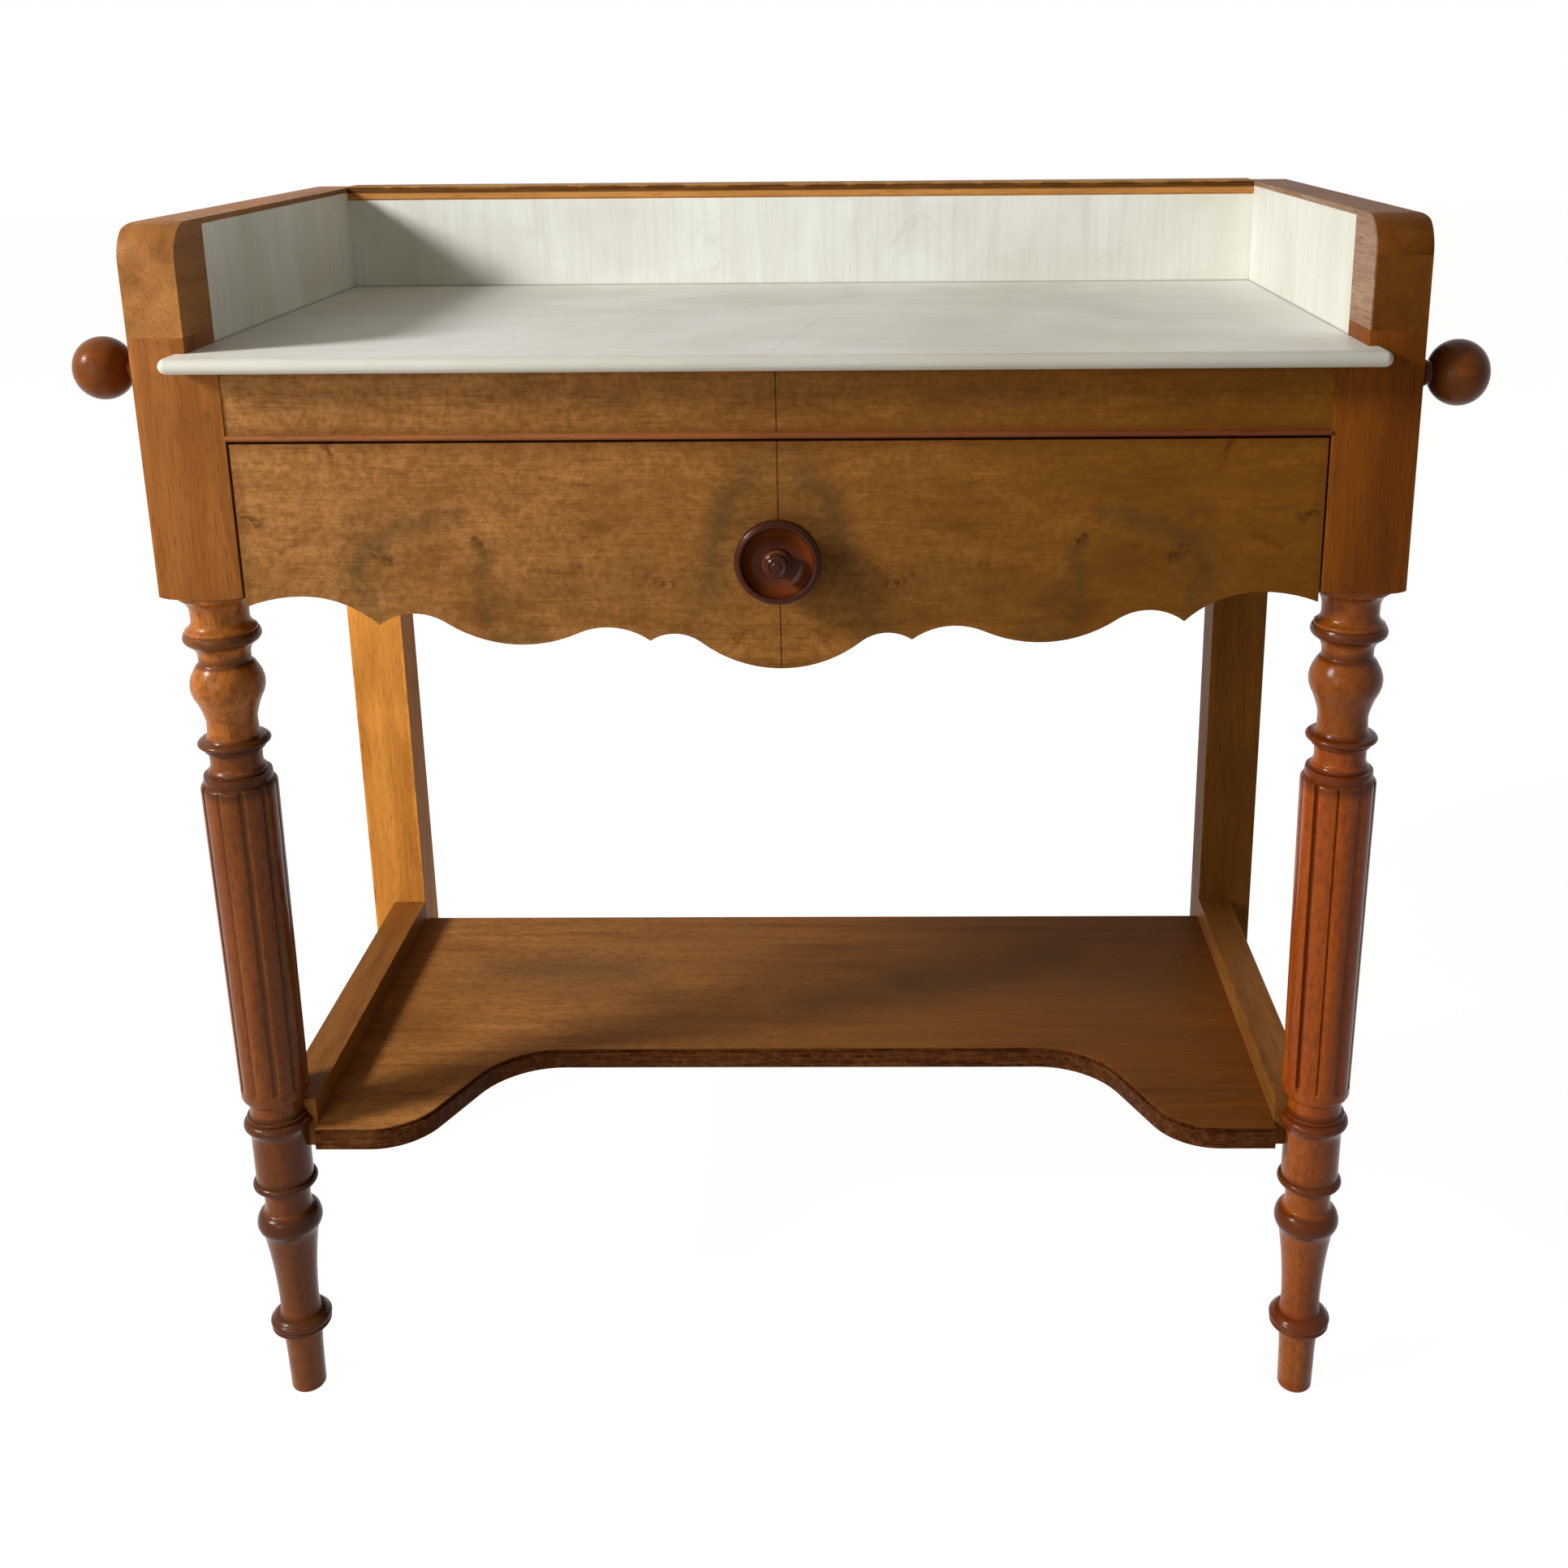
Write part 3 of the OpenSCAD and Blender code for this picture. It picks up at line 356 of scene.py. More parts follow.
class Finish:
    """The node tree of one material, built up by short calls."""

    def __init__(self, name):
        self.material = bpy.data.materials.new(name)
        self.material.use_nodes = True
        self.tree = self.material.node_tree
        self.tree.nodes.clear()
        self.shader = self.add("ShaderNodeBsdfPrincipled")
        output = self.add("ShaderNodeOutputMaterial")
        self.feed(output.inputs["Surface"], self.shader.outputs["BSDF"])
        self.coords = self.add("ShaderNodeTexCoord").outputs["Object"]

    def add(self, kind, **settings):
        node = self.tree.nodes.new(kind)
        for key, value in settings.items():
            setattr(node, key, value)
        return node

    def feed(self, socket, value):
        """Joins a socket to an output, or sets its own value."""
        if isinstance(value, bpy.types.NodeSocket):
            self.tree.links.new(value, socket)
        else:
            socket.default_value = value

    def math(self, operation, *values, clamp=False):
        node = self.add("ShaderNodeMath", operation=operation, use_clamp=clamp)
        for socket, value in zip(node.inputs, values):
            self.feed(socket, value)
        return node.outputs[0]

    def vector(self, operation, *values):
        node = self.add("ShaderNodeVectorMath", operation=operation)
        for socket, value in zip(node.inputs, values):
            self.feed(socket, value)
        return node.outputs["Value" if operation in ("DISTANCE", "DOT_PRODUCT") else "Vector"]

    def place(self, vector, scale=(1, 1, 1), turn=(0, 0, 0), shift=(0, 0, 0)):
        """Scales, then turns, then moves coordinates."""
        node = self.add("ShaderNodeMapping")
        self.feed(node.inputs["Vector"], vector)
        node.inputs["Scale"].default_value = scale
        node.inputs["Rotation"].default_value = turn
        node.inputs["Location"].default_value = shift
        return node.outputs[0]

    def split(self, vector):
        node = self.add("ShaderNodeSeparateXYZ")
        self.feed(node.inputs[0], vector)
        return node.outputs

    def noise_node(self, vector, scale, detail, roughness=0.5, distortion=0.0):
        node = self.add("ShaderNodeTexNoise")
        self.feed(node.inputs["Vector"], vector)
        node.inputs["Scale"].default_value = scale
        node.inputs["Detail"].default_value = detail
        node.inputs["Roughness"].default_value = roughness
        node.inputs["Distortion"].default_value = distortion
        return node

    def noise(self, vector, scale, detail=2.0, roughness=0.5, distortion=0.0):
        return self.noise_node(vector, scale, detail, roughness, distortion).outputs["Fac"]

    def bend(self, vector, scale, amount):
        """Moves coordinates about by a slow noise."""
        noise = self.noise_node(vector, scale, detail=2)
        centred = self.vector("SUBTRACT", noise.outputs["Color"], (0.5, 0.5, 0.5))
        return self.vector("MULTIPLY_ADD", centred, (amount, amount, amount), vector)

    def span(self, value, low, high, start=0.0, end=1.0):
        """Maps low…high smoothly onto start…end."""
        node = self.add("ShaderNodeMapRange", interpolation_type="SMOOTHSTEP")
        for key, number in (("From Min", low), ("From Max", high), ("To Min", start), ("To Max", end)):
            self.feed(node.inputs[key], number)
        self.feed(node.inputs["Value"], value)
        return node.outputs["Result"]

    def ramp(self, value, stops):
        """Colours a value by (position, colour) stops."""
        node = self.add("ShaderNodeValToRGB")
        elements = node.color_ramp.elements
        while len(elements) < len(stops):
            elements.new(0.5)
        for element, (position, colour) in zip(elements, stops):
            element.position = position
            element.color = (*colour[:3], 1)
        self.feed(node.inputs[0], value)
        return node.outputs["Color"]

    def mix(self, amount, one, other, blend="MIX"):
        node = self.add("ShaderNodeMix", data_type="RGBA", blend_type=blend)
        self.feed(node.inputs[0], amount)
        for socket, value in ((node.inputs[6], one), (node.inputs[7], other)):
            if isinstance(value, bpy.types.NodeSocket):
                self.feed(socket, value)
            else:
                socket.default_value = (*value[:3], 1)
        return node.outputs[2]

    def veil(self, look, pattern, low, high, strength, colour):
        """Lays a colour over a look as a pattern rises from low to high."""
        return self.mix(self.span(pattern, low, high, 0, strength), look, colour)

    def weigh(self, one, other, share):
        """A share of one value and the rest of another."""
        first = self.math("MULTIPLY", one, share)
        return self.math("ADD", first, self.math("MULTIPLY", other, 1 - share))

    def between(self, axis, start, end, soft):
        """1 between two places along an axis, and 0 past them, in millimetres."""
        place = self.split(self.coords)["XYZ".index(axis)]
        begins = self.span(place, (start - soft) * MM, (start + soft) * MM)
        ends = self.span(place, (end - soft) * MM, (end + soft) * MM, 1, 0)
        return self.math("MINIMUM", begins, ends)

    def smear(self, vector, start, end, reach):
        """A soft band along a line between two points in millimetres, 1 in its middle."""
        start, end = Vector(start) * MM, Vector(end) * MM
        run = end - start
        along_run = self.vector("DOT_PRODUCT", self.vector("SUBTRACT", vector, start), run)
        share = self.math("DIVIDE", along_run, run.length_squared, clamp=True)
        nearest = self.vector("MULTIPLY_ADD", share, run, start)
        return self.span(self.vector("DISTANCE", vector, nearest), 0, reach * MM, 1, 0)

    def smears(self, vector, marks):
        """The strongest of several smears, each a start, an end, a reach and a strength."""
        total = 0.0
        for start, end, reach, strength in marks:
            mark = self.math("MULTIPLY", self.smear(vector, start, end, reach), strength)
            total = self.math("MAXIMUM", total, mark)
        return total

    def arris(self, low, high):
        """Distance from a point on a box's surface to the nearest edge."""
        gaps = []
        for axis, out in enumerate(self.split(self.coords)):
            middle, half = (low[axis] + high[axis]) / 2, (high[axis] - low[axis]) / 2
            from_middle = self.math("ABSOLUTE", self.math("SUBTRACT", out, middle))
            gaps.append(self.math("SUBTRACT", half, from_middle))
        a, b, c = gaps
        inner = self.math("MINIMUM", self.math("MAXIMUM", a, b), c)
        return self.math("MAXIMUM", self.math("MINIMUM", a, b), inner)

    def surface(self, colour, roughness, height, depth, shine=0.5):
        """Joins colour, roughness and a relief of a depth in millimetres to the shader."""
        self.feed(self.shader.inputs["Base Color"], colour)
        self.feed(self.shader.inputs["Roughness"], roughness)
        self.shader.inputs["Specular IOR Level"].default_value = shine
        bump = self.add("ShaderNodeBump")
        bump.inputs["Strength"].default_value = 1
        bump.inputs["Distance"].default_value = depth * MM
        self.feed(bump.inputs["Height"], height)
        self.feed(self.shader.inputs["Normal"], bump.outputs[0])


def shade(colour, red, green=None, blue=None):
    """A colour made lighter or darker, channel by channel."""
    green = red if green is None else green
    blue = green if blue is None else blue
    return colour[0] * red, colour[1] * green, colour[2] * blue


GRAIN_RUN = {"X": (1, 0, 0), "Y": (0, 1, 0), "Z": (0, 0, 1)}


def along(grain, stretch):
    """Scale that stretches a pattern along the grain."""
    return tuple(1 / stretch if run else 1 for run in GRAIN_RUN[grain])


# How far a pattern moves from one seed to the next, in metres, and the first
# seed of each group of pieces, so that no two pieces of wood share a pattern.
WOOD_STEPS = (0.37, 0.61, 0.83)
STONE_STEPS = (0.41, 0.23, 0.57)
SEEDS = {
    "turnings": 1, "posts": 11, "frame": 20, "bead": 30, "gallery": 40, "dowels": 45, "shelf": 50,
    "drawer_box": 60, "knob": 80, "rods": 90, "balls": 92,
}


def moved(seed, steps):
    """The shift of a pattern that goes with a seed."""
    return tuple(seed * step for step in steps)


# A colour drifts into another between this far left and this far right, in metres. The darker right end is
# partly the wood's own tone and partly painted shade.
DRIFT = 0.36


def drift_in_tone_and_shade(f, left, right):
    """A colour that passes into another across the washstand's width, darker at the right partly as painted
    shade.
    """
    return f.mix(f.span(f.split(f.coords)[0], -DRIFT, DRIFT), left, right)


# The figure's tints darken a wood, so its colour is lifted by these first.
WOOD_LIFT = 1.25
VENEER_LIFT = 1.27
WOOD_TINT = [
    (0.32, (0.42, 0.36, 0.3)), (0.44, (0.68, 0.64, 0.59)), (0.54, (0.82, 0.81, 0.8)), (0.68, (1, 1, 1)),
]
VENEER_TINT = [
    (0.35, (0.48, 0.43, 0.37)), (0.45, (0.7, 0.68, 0.62)), (0.53, (0.82, 0.82, 0.8)),
    (0.63, (1.04, 1.06, 1.04)),
]
STEEL_TINT = [(0.3, tone(60, 50, 42)), (0.55, tone(112, 106, 98)), (0.75, tone(140, 134, 124))]
# Shades of the marks in a wood, against its own colour, and where its pores lie.
FIBRE = (0.62, 0.52, 0.42)
PORE = (0.3, 0.22, 0.16)
PORE_SPAN = (0.6, 0.74)
DIRT = (0.45, 0.4, 0.34)
# This darkest tone darkens the rings and grooves of turned wood: old dirt, and in the hollows painted shade
# as well.
PATINA_AND_SHADE = (0.2, 0.16, 0.2)
FLECK = (0.42, 0.36, 0.36)
RUBBED = (1.35, 1.3, 1.2)
SHELF_SMOKE_TONE = tone(56, 42, 20)
# How rough waxed wood is at its smoothest, and bare wood.
WAXED = 0.45
BARE = 0.6


def grained(name, grain, colour, seed, other=None, box=None, mottle=0.5, wax=WAXED, shine=0.07,
            worn=False, soiled=0.35, flecks=0.0, smoke=(), coats=()):
    """Waxed wood: slow clouds, growth streaks, fine fibres, pores and worn edges.

    Other is the colour at the washstand's right end; the drift into it is partly the
    wood's own tone and partly painted shade. With a box, the edges of that box are
    rubbed lighter. Mottle is the clouds' share of the figure, and wax the roughness
    under a good coat of it. With worn, the piece's own attribute darkens its hollows
    and rings, as old dirt and, in the hollows, as painted shade as well. Soiled and
    flecks are the strengths of the large and the small dark patches. Smoke is a list
    of smoky smears. Coats are stretches of another colour, each an axis, a start and
    an end in millimetres along it, a softness and a colour. The cap rail's dark line
    and the right gallery side's pale inner face are coats of painted shadow and
    painted glare.
    """
    f = Finish(name)
    at = f.place(f.coords, shift=moved(seed, WOOD_STEPS))
    bent = f.bend(at, scale=9, amount=0.012)
    clouds = f.noise(f.place(bent, along(grain, 2.5)), scale=13, detail=4, roughness=0.55)
    streaks = f.noise(
        f.place(bent, along(grain, 16)), scale=85, detail=4, roughness=0.6, distortion=0.4)
    fibres = f.noise(f.place(at, along(grain, 35)), scale=900, roughness=0.6)
    pores = f.noise(f.place(at, along(grain, 22)), scale=1500, detail=1)
    soil = f.noise(at, scale=5, detail=3, roughness=0.6)
    base = shade(colour, WOOD_LIFT)
    if other:
        base = drift_in_tone_and_shade(f, base, shade(other, WOOD_LIFT))
    for axis, start, end, soft, coat in coats:
        base = f.mix(f.between(axis, start, end, soft), base, shade(coat, WOOD_LIFT))
    tint = f.ramp(f.weigh(clouds, streaks, mottle), WOOD_TINT)
    look = f.mix(1.0, base, tint, "MULTIPLY")
    look = f.veil(look, fibres, 0.35, 0.7, 0.3, shade(colour, *FIBRE))
    look = f.veil(look, pores, *PORE_SPAN, 0.5, shade(colour, *PORE))
    look = f.veil(look, soil, 0.5, 0.75, soiled, shade(colour, *DIRT))
    if worn:
        # Rings and grooves darkened by the piece's own attribute: old dirt, and painted shade in the
        # hollows.
        patina_and_shade = f.add("ShaderNodeAttribute", attribute_name="patina_and_shade").outputs["Fac"]
        uneven = f.math("MULTIPLY", patina_and_shade, f.span(clouds, 0.3, 0.6, 0.65, 1))
        look = f.mix(f.math("MULTIPLY", uneven, 0.8), look, shade(colour, *PATINA_AND_SHADE))
    if flecks:
        specks = f.noise(f.place(at, along(grain, 1.6)), scale=200, detail=6, roughness=0.78)
        look = f.veil(look, specks, 0.45, 0.62, flecks, shade(colour, *FLECK))
    if smoke:
        smoky = f.smears(f.bend(f.coords, scale=25, amount=0.03), smoke)
        smoky = f.math("MULTIPLY", smoky, f.span(streaks, 0.35, 0.65, 0.5, 0.9))
        look = f.mix(smoky, look, SHELF_SMOKE_TONE)
    if box:
        uneven = f.span(f.noise(at, scale=60, detail=3), 0.35, 0.65, -0.001, 0.002)
        rub = f.math("ADD", f.arris(*box), uneven)
        look = f.mix(f.span(rub, 0.0003, 0.0022, 0.35, 0), look, shade(colour, *RUBBED))
    dull = f.math("ADD", fibres, f.math("MULTIPLY", soil, 0.5))
    rough = f.span(dull, 0.5, 1.1, wax, wax + 0.16)
    relief = f.math("SUBTRACT", f.math("MULTIPLY", fibres, 0.4), f.span(pores, *PORE_SPAN))
    f.surface(look, rough, relief, depth=0.12, shine=shine)
    return f.material


# Smoky marks on the drawer, the same on both leaves of the veneer: from and to a
# distance from the seam and a height in millimetres, reach, and strength.
SMOKE = [
    ((205, 682), (222, 682), 11, 0.55), ((222, 681), (245, 674), 12, 0.75),
    ((245, 673), (264, 663), 12, 0.8), ((264, 662), (271, 648), 12, 0.8),
    ((271, 648), (266, 618), 15, 0.6), ((193, 663), (188, 660), 8, 0.7),
    ((189, 658), (191, 616), 12, 0.6), ((262, 668), (272, 640), 34, 0.35),
    ((14, 712), (33, 693), 14, 0.7), ((33, 693), (40, 662), 15, 0.85),
    ((40, 662), (46, 632), 18, 0.7), ((10, 716), (46, 625), 34, 0.4),
    ((50, 622), (64, 600), 22, 0.45), ((160, 601), (190, 600), 14, 0.5),
    ((90, 640), (180, 628), 30, 0.25),
]
# Torn knots on both leaves, as short marks.
KNOTS = [
    ((332, 678), (340, 684), 6, 1), ((280, 722), (284, 731), 5, 0.8), ((250, 655), (258, 659), 7, 0.8),
    ((84, 644), (70, 636), 6, 0.7), ((188, 664), (196, 668), 5, 0.9), ((24, 606), (28, 600), 5, 0.8),
    ((300, 668), (318, 661), 4, 0.5), ((120, 700), (128, 704), 4, 0.4), ((126, 648), (134, 650), 4, 0.5),
]
# Shades of the marks in the veneer, the first against its left colour and the
# others against its right one, and the tones of the smoke and of the seam.
PALE_PATCH = (1.35, 1.3, 1.5)
BURR = (0.75, 0.68, 0.7)
THREAD = (0.55, 0.5, 0.5)
VENEER_FLECK = (0.35, 0.25, 0.2)
TORN = (0.25, 0.16, 0.15)
DARK_EDGE = (0.5, 0.36, 0.3)
VENEER_SMOKE_TONE = tone(62, 50, 26)
SEAM_TONE = tone(40, 22, 10)


def on_leaf(marks):
    """Marks whose places on the leaf are written as points in space."""
    return [((x0, 0, z0), (x1, 0, z1), reach, strength) for (x0, z0), (x1, z1), reach, strength in marks]


def veneer(name, left, right, middle, box, smoke=True):
    """Book-matched veneer: one leaf opened at the seam, with smoky marks and knots."""
    f = Finish(name)
    x, _, z = f.split(f.coords)
    out = f.math("ABSOLUTE", f.math("SUBTRACT", x, middle))
    combined = f.add("ShaderNodeCombineXYZ")
    for socket, value in zip(combined.inputs, (out, 0.0, z)):
        f.feed(socket, value)
    leaf = combined.outputs[0]
    bent = f.bend(leaf, scale=14, amount=0.02)
    clouds = f.noise(
        f.place(bent, (0.55, 1, 1)), scale=15, detail=5, roughness=0.62, distortion=0.3)
    flame = f.noise(
        f.place(bent, (0.3, 1, 1), turn=(0, 0.2, 0)), scale=60, detail=5, roughness=0.65, distortion=0.6)
    threads = f.noise(f.place(f.coords, (0.05, 1, 1)), scale=650, detail=3, roughness=0.65)
    burr = f.noise(bent, scale=200, detail=5, roughness=0.75)
    flecks = f.noise(f.place(leaf, (0.4, 1, 1)), scale=420, detail=3, roughness=0.65)
    # Darker towards the right end, partly the veneer's own tone and partly painted shade.
    base = drift_in_tone_and_shade(f, shade(left, VENEER_LIFT), shade(right, VENEER_LIFT))
    look = f.mix(1.0, base, f.ramp(f.weigh(clouds, flame, 0.55), VENEER_TINT), "MULTIPLY")
    patches = f.span(f.noise(bent, scale=40, detail=5, roughness=0.65), 0.48, 0.62)
    on_the_left = f.span(x, 0.25, -0.35, 0, 0.42)
    look = f.mix(f.math("MULTIPLY", patches, on_the_left), look, shade(left, *PALE_PATCH))
    look = f.veil(look, burr, 0.4, 0.62, 0.5, shade(right, *BURR))
    look = f.veil(look, threads, 0.44, 0.72, 0.4, shade(right, *THREAD))
    look = f.veil(look, flecks, 0.66, 0.76, 0.6, shade(right, *VENEER_FLECK))
    if smoke:
        ragged = f.bend(f.bend(leaf, scale=30, amount=0.012), scale=120, amount=0.006)
        drift = f.vector("MULTIPLY", ragged, (1, 0, 1))
        clotted = f.span(f.noise(leaf, scale=60, detail=4, roughness=0.6), 0.3, 0.7, 0.55, 1)
        smoky = f.math("MULTIPLY", f.smears(drift, on_leaf(SMOKE)), clotted)
        look = f.mix(f.math("MULTIPLY", smoky, 0.8), look, VENEER_SMOKE_TONE)
        splintered = f.span(f.noise(leaf, scale=260, detail=4, roughness=0.7), 0.4, 0.56)
        torn = f.math("MULTIPLY", f.smears(drift, on_leaf(KNOTS)), splintered)
        look = f.mix(f.math("MULTIPLY", torn, 0.8), look, shade(right, *TORN))
    seam = f.span(out, 0.0002, 0.0006, 1, 0)
    look = f.mix(f.math("MULTIPLY", seam, 0.85), look, SEAM_TONE)
    look = f.mix(f.span(f.arris(*box), 0.0005, 0.009, 0.35, 0), look, shade(right, *DARK_EDGE))
    rough = f.span(burr, 0.3, 0.7, 0.45, 0.6)
    relief = f.math("SUBTRACT", f.math("MULTIPLY", burr, 0.35), seam)
    f.surface(look, rough, relief, depth=0.15, shine=0.07)
    return f.material


# Tones of the soil in the marble's joints, of its cracks and of its worn front edge.
JOINT_TONE = tone(120, 112, 92)
CRACK_TONE = tone(120, 112, 100)
WORN_TONE = tone(166, 158, 138)
# Widths, in metres, over which a soiled joint and the worn front fade out.
JOINT_WIDTH = 0.0016
WORN_FADE = 0.006


def stone(name, settings, seed, saw_run, grey, joint, cracks=()):
    """Old white marble: soft clouds, faint saw lines, specks, soiled joints and fine cracks.

    Grey is the share of the cloud colour all over a slab. Joint is a function
    that gives the distance to the nearest joint with another slab.
    """
    f = Finish(name)
    ground, cloud, vein, stain = settings.ground[:], settings.cloud[:], settings.vein[:], settings.stain[:]
    at = f.place(f.coords, shift=moved(seed, STONE_STEPS))
    bent = f.bend(at, scale=6, amount=0.05)
    clouds = f.noise(bent, scale=7, detail=5, roughness=0.6, distortion=0.4)
    look = f.mix(f.span(clouds, 0.35, 0.7, grey, grey + 0.6), ground, cloud)
    wavering = f.noise(bent, scale=5, detail=4, roughness=0.6, distortion=1.2)
    off_vein = f.math("ABSOLUTE", f.math("SUBTRACT", wavering, 0.5))
    broken = f.span(f.noise(at, scale=11, detail=3), 0.5, 0.7)
    veins = f.math("MULTIPLY", f.span(off_vein, 0.0, 0.02, 1, 0), broken)
    look = f.mix(f.math("MULTIPLY", veins, 0.14), look, vein)
    saw = f.noise(f.place(at, along(saw_run, 25)), scale=210, detail=3, roughness=0.6)
    look = f.veil(look, saw, 0.42, 0.72, 0.13, vein)
    slow_saw = f.noise(f.place(bent, along(saw_run, 9)), scale=55, detail=3, roughness=0.55)
    look = f.veil(look, slow_saw, 0.45, 0.7, 0.24, cloud)
    patches = f.noise(bent, scale=26, detail=4, roughness=0.6)
    look = f.veil(look, patches, 0.45, 0.65, 0.22, cloud)
    specks = f.noise(at, scale=700, roughness=0.6)
    look = f.veil(look, specks, 0.7, 0.8, 0.2, vein)
    yellowed = f.noise(at, scale=4, detail=4, roughness=0.65)
    look = f.veil(look, yellowed, 0.48, 0.72, 0.5, stain)
    look = f.mix(f.span(joint(f), 0.0, JOINT_WIDTH, 0.55, 0), look, JOINT_TONE)
    if cracks:
        lines = f.smears(f.bend(f.coords, scale=60, amount=0.005), cracks)
        look = f.mix(lines, look, CRACK_TONE)
    y = f.split(f.coords)[1]
    worn_front = f.span(y, settings.front, settings.front + WORN_FADE, settings.soil, 0)
    look = f.mix(worn_front, look, WORN_TONE)
    rough = f.span(clouds, 0.3, 0.7, 0.4, 0.52)
    relief = f.math("ADD", f.math("MULTIPLY", saw, 0.4), f.math("MULTIPLY", specks, 0.5))
    f.surface(look, rough, relief, depth=0.06, shine=0.25)
    return f.material


def worn_steel(name):
    """Old steel: brown-grey, dull and pitted."""
    f = Finish(name)
    spots = f.noise(f.coords, scale=900, detail=4, roughness=0.65)
    f.surface(f.ramp(spots, STEEL_TINT), f.span(spots, 0.3, 0.7, 0.55, 0.38), spots, depth=0.05)
    f.shader.inputs["Metallic"].default_value = 0.85
    return f.material


def dress(node, material, rounding=0.0):
    """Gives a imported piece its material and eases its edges."""
    piece = NODES[node]
    for slot in piece.material_slots:
        slot.material = material
    if rounding:
        weld = piece.modifiers.new("Weld", "WELD")
        weld.merge_threshold = TOUCH
        bevel = piece.modifiers.new("Bevel", "BEVEL")
        bevel.width = rounding
        bevel.segments = EDGE_STEPS
        bevel.limit_method = "ANGLE"
        bevel.angle_limit = math.radians(CORNER_ANGLE)


def board(node, grain, colour, seed, rounding, **looks):
    """Finishes a packed board, with its edges rubbed lighter."""
    material = grained(node + "_wood", grain, colour, seed, box=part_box(node), **looks)
    dress(node, material, rounding)


# ---- Pieces ----


class WASHSTAND_OT_front_legs(bpy.types.Operator):
    """Make the two front legs, each a square post over a turned and reeded shaft"""

    bl_idname = "washstand.front_legs"
    bl_label = "Front legs"

    def execute(self, context):
        woods = context.scene.washstand_woods
        left, right = woods.turned_left[:], woods.turned_right[:]
        left_coats = [
            ("Z", *TIP, 3, shade(left, 0.9, 0.95, 0.8)), ("Z", *VASE, 4, shade(left, 0.72, 0.7, 0.8)),
            ("Z", *BULB, 4, shade(left, 2.1, 2.5, 2.8)),
        ]
        right_coats = [
            ("Z", *TIP, 3, shade(right, 1.15, 1.6, 2)), ("Z", *VASE, 4, shade(right, 0.85, 1.0, 1.2)),
            ("Z", *BULB, 4, shade(right, 0.72, 0.95, 1.3)),
        ]
        plan = [
            ("leg_front_left", "honey_wood", woods.honey[:], left, left_coats, LEFT_TURN, LEFT_GROOVES),
            ("leg_front_right", "brown_wood", woods.brown[:], right, right_coats, RIGHT_TURN, RIGHT_GROOVES),
        ]
        for number, leg in enumerate(plan):
            front_leg(number, *leg)
        return {"FINISHED"}


def leg_profile():
    """The whole turning of a leg, with loops along the shaft for the reeds' ends."""
    head = [(POST_LOW + z, r, bow) for z, r, bow in HEAD_TURNING]
    (z0, r0, _), (z1, r1, _) = FOOT_TURNING[-1], head[0]
    rise = z1 - z0
    at_end = [REED_RISE - 1 + i * (REED_END + 1) / END_LOOPS for i in range(END_LOOPS + 1)]
    spread = [REED_RISE + REED_END + (rise - REED_RISE - REED_END) * (i + 1) / (SHAFT_LOOPS + 1)
              for i in range(SHAFT_LOOPS)]
    shaft = [(z0 + s, r0 + (r1 - r0) * s / rise, 0) for s in at_end + spread]
    return bowed(FOOT_TURNING + shaft + head)


def in_ring(height):
    """How far a height on a leg lies in a darkened ring, from 0 to 1."""
    shares = [min((height - low) / RING_SOFTNESS + 0.5, (high - height) / RING_SOFTNESS + 0.5)
              for low, high in RINGS]
    return min(1, max(0, *shares))


def cut_reeds(bm, turning, turn, grooves):
    """Sinks the grooves between the reeds into the shaft, and marks them darker the deeper they are, as old
    dirt and as painted shade.
    """
    patina_and_shade = bm.verts.layers.float.new("patina_and_shade")
    z0, r0 = FOOT_TURNING[-1][:2]
    z1, r1 = POST_LOW + HEAD_TURNING[0][0], HEAD_TURNING[0][1]
    start, end = z0 + REED_RISE, POST_LOW + HEAD_TURNING[1][0] + REED_PAST
    deepest = max(depth for _, depth in grooves.values())
    for vert in bm.verts:
        height = vert.co.z / MM
        vert[patina_and_shade] = in_ring(height)
        radius = math.hypot(vert.co.x, vert.co.y) / MM
        if not start < height < end or radius == 0:
            continue
        shaft = r0 + (r1 - r0) * (height - z0) / (z1 - z0)
        pitch = math.tau * shaft / turning.reeds
        angle = math.atan2(vert.co.y, vert.co.x) + math.pi / 2 - math.radians(turn)
        place = angle * turning.reeds / math.tau
        off = abs(place - round(place)) * pitch
        width, depth = grooves.get(round(place) % turning.reeds, GROOVE)
        round_off = math.sqrt(max(0, 1 - (2 * off / width) ** 2))
        side = turning.crown / MM * (1 - 2 * off / pitch) ** 2
        fade = math.sqrt(1 - (1 - min(1, (height - start) / REED_END)) ** 2)
        sunk = min(radius, shaft - (depth * round_off + side) * fade)
        vert.co.x *= sunk / radius
        vert.co.y *= sunk / radius
        # The deeper a groove, the darker its bottom: old dirt and painted shade.
        vert[patina_and_shade] = max(vert[patina_and_shade], fade * round_off * depth / deepest)


def front_leg(number, node, slot, post_colour, turned_colour, coats, turn, grooves):
    """Makes a leg of one stick: the turned and reeded shaft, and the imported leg's post."""
    low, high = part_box(node)
    turning = bpy.context.scene.washstand_turning
    bm = turned(leg_profile(), turning.steps)
    cut_reeds(bm, turning, turn, grooves)
    bmesh.ops.translate(bm, verts=bm.verts, vec=((low.x + high.x) / 2, (low.y + high.y) / 2, 0))
    turned_faces = set(bm.faces)
    post = post_of(node)
    bm.from_mesh(post)
    bpy.data.meshes.remove(post)
    for face in bm.faces:
        face.material_index = 0 if face in turned_faces else 1
    piece = finished(bm, node + "_turned", "carcass", node)
    piece.data.materials.append(grained(
        node + "_turned_wood", "Z", turned_colour, SEEDS["turnings"] + number, mottle=0.6, wax=0.16,
        shine=0.14, worn=True, flecks=0.45, coats=coats))
    piece.data.materials.append(grained(
        node + "_post_wood", "Z", post_colour, SEEDS["posts"] + number, box=(low, high)))


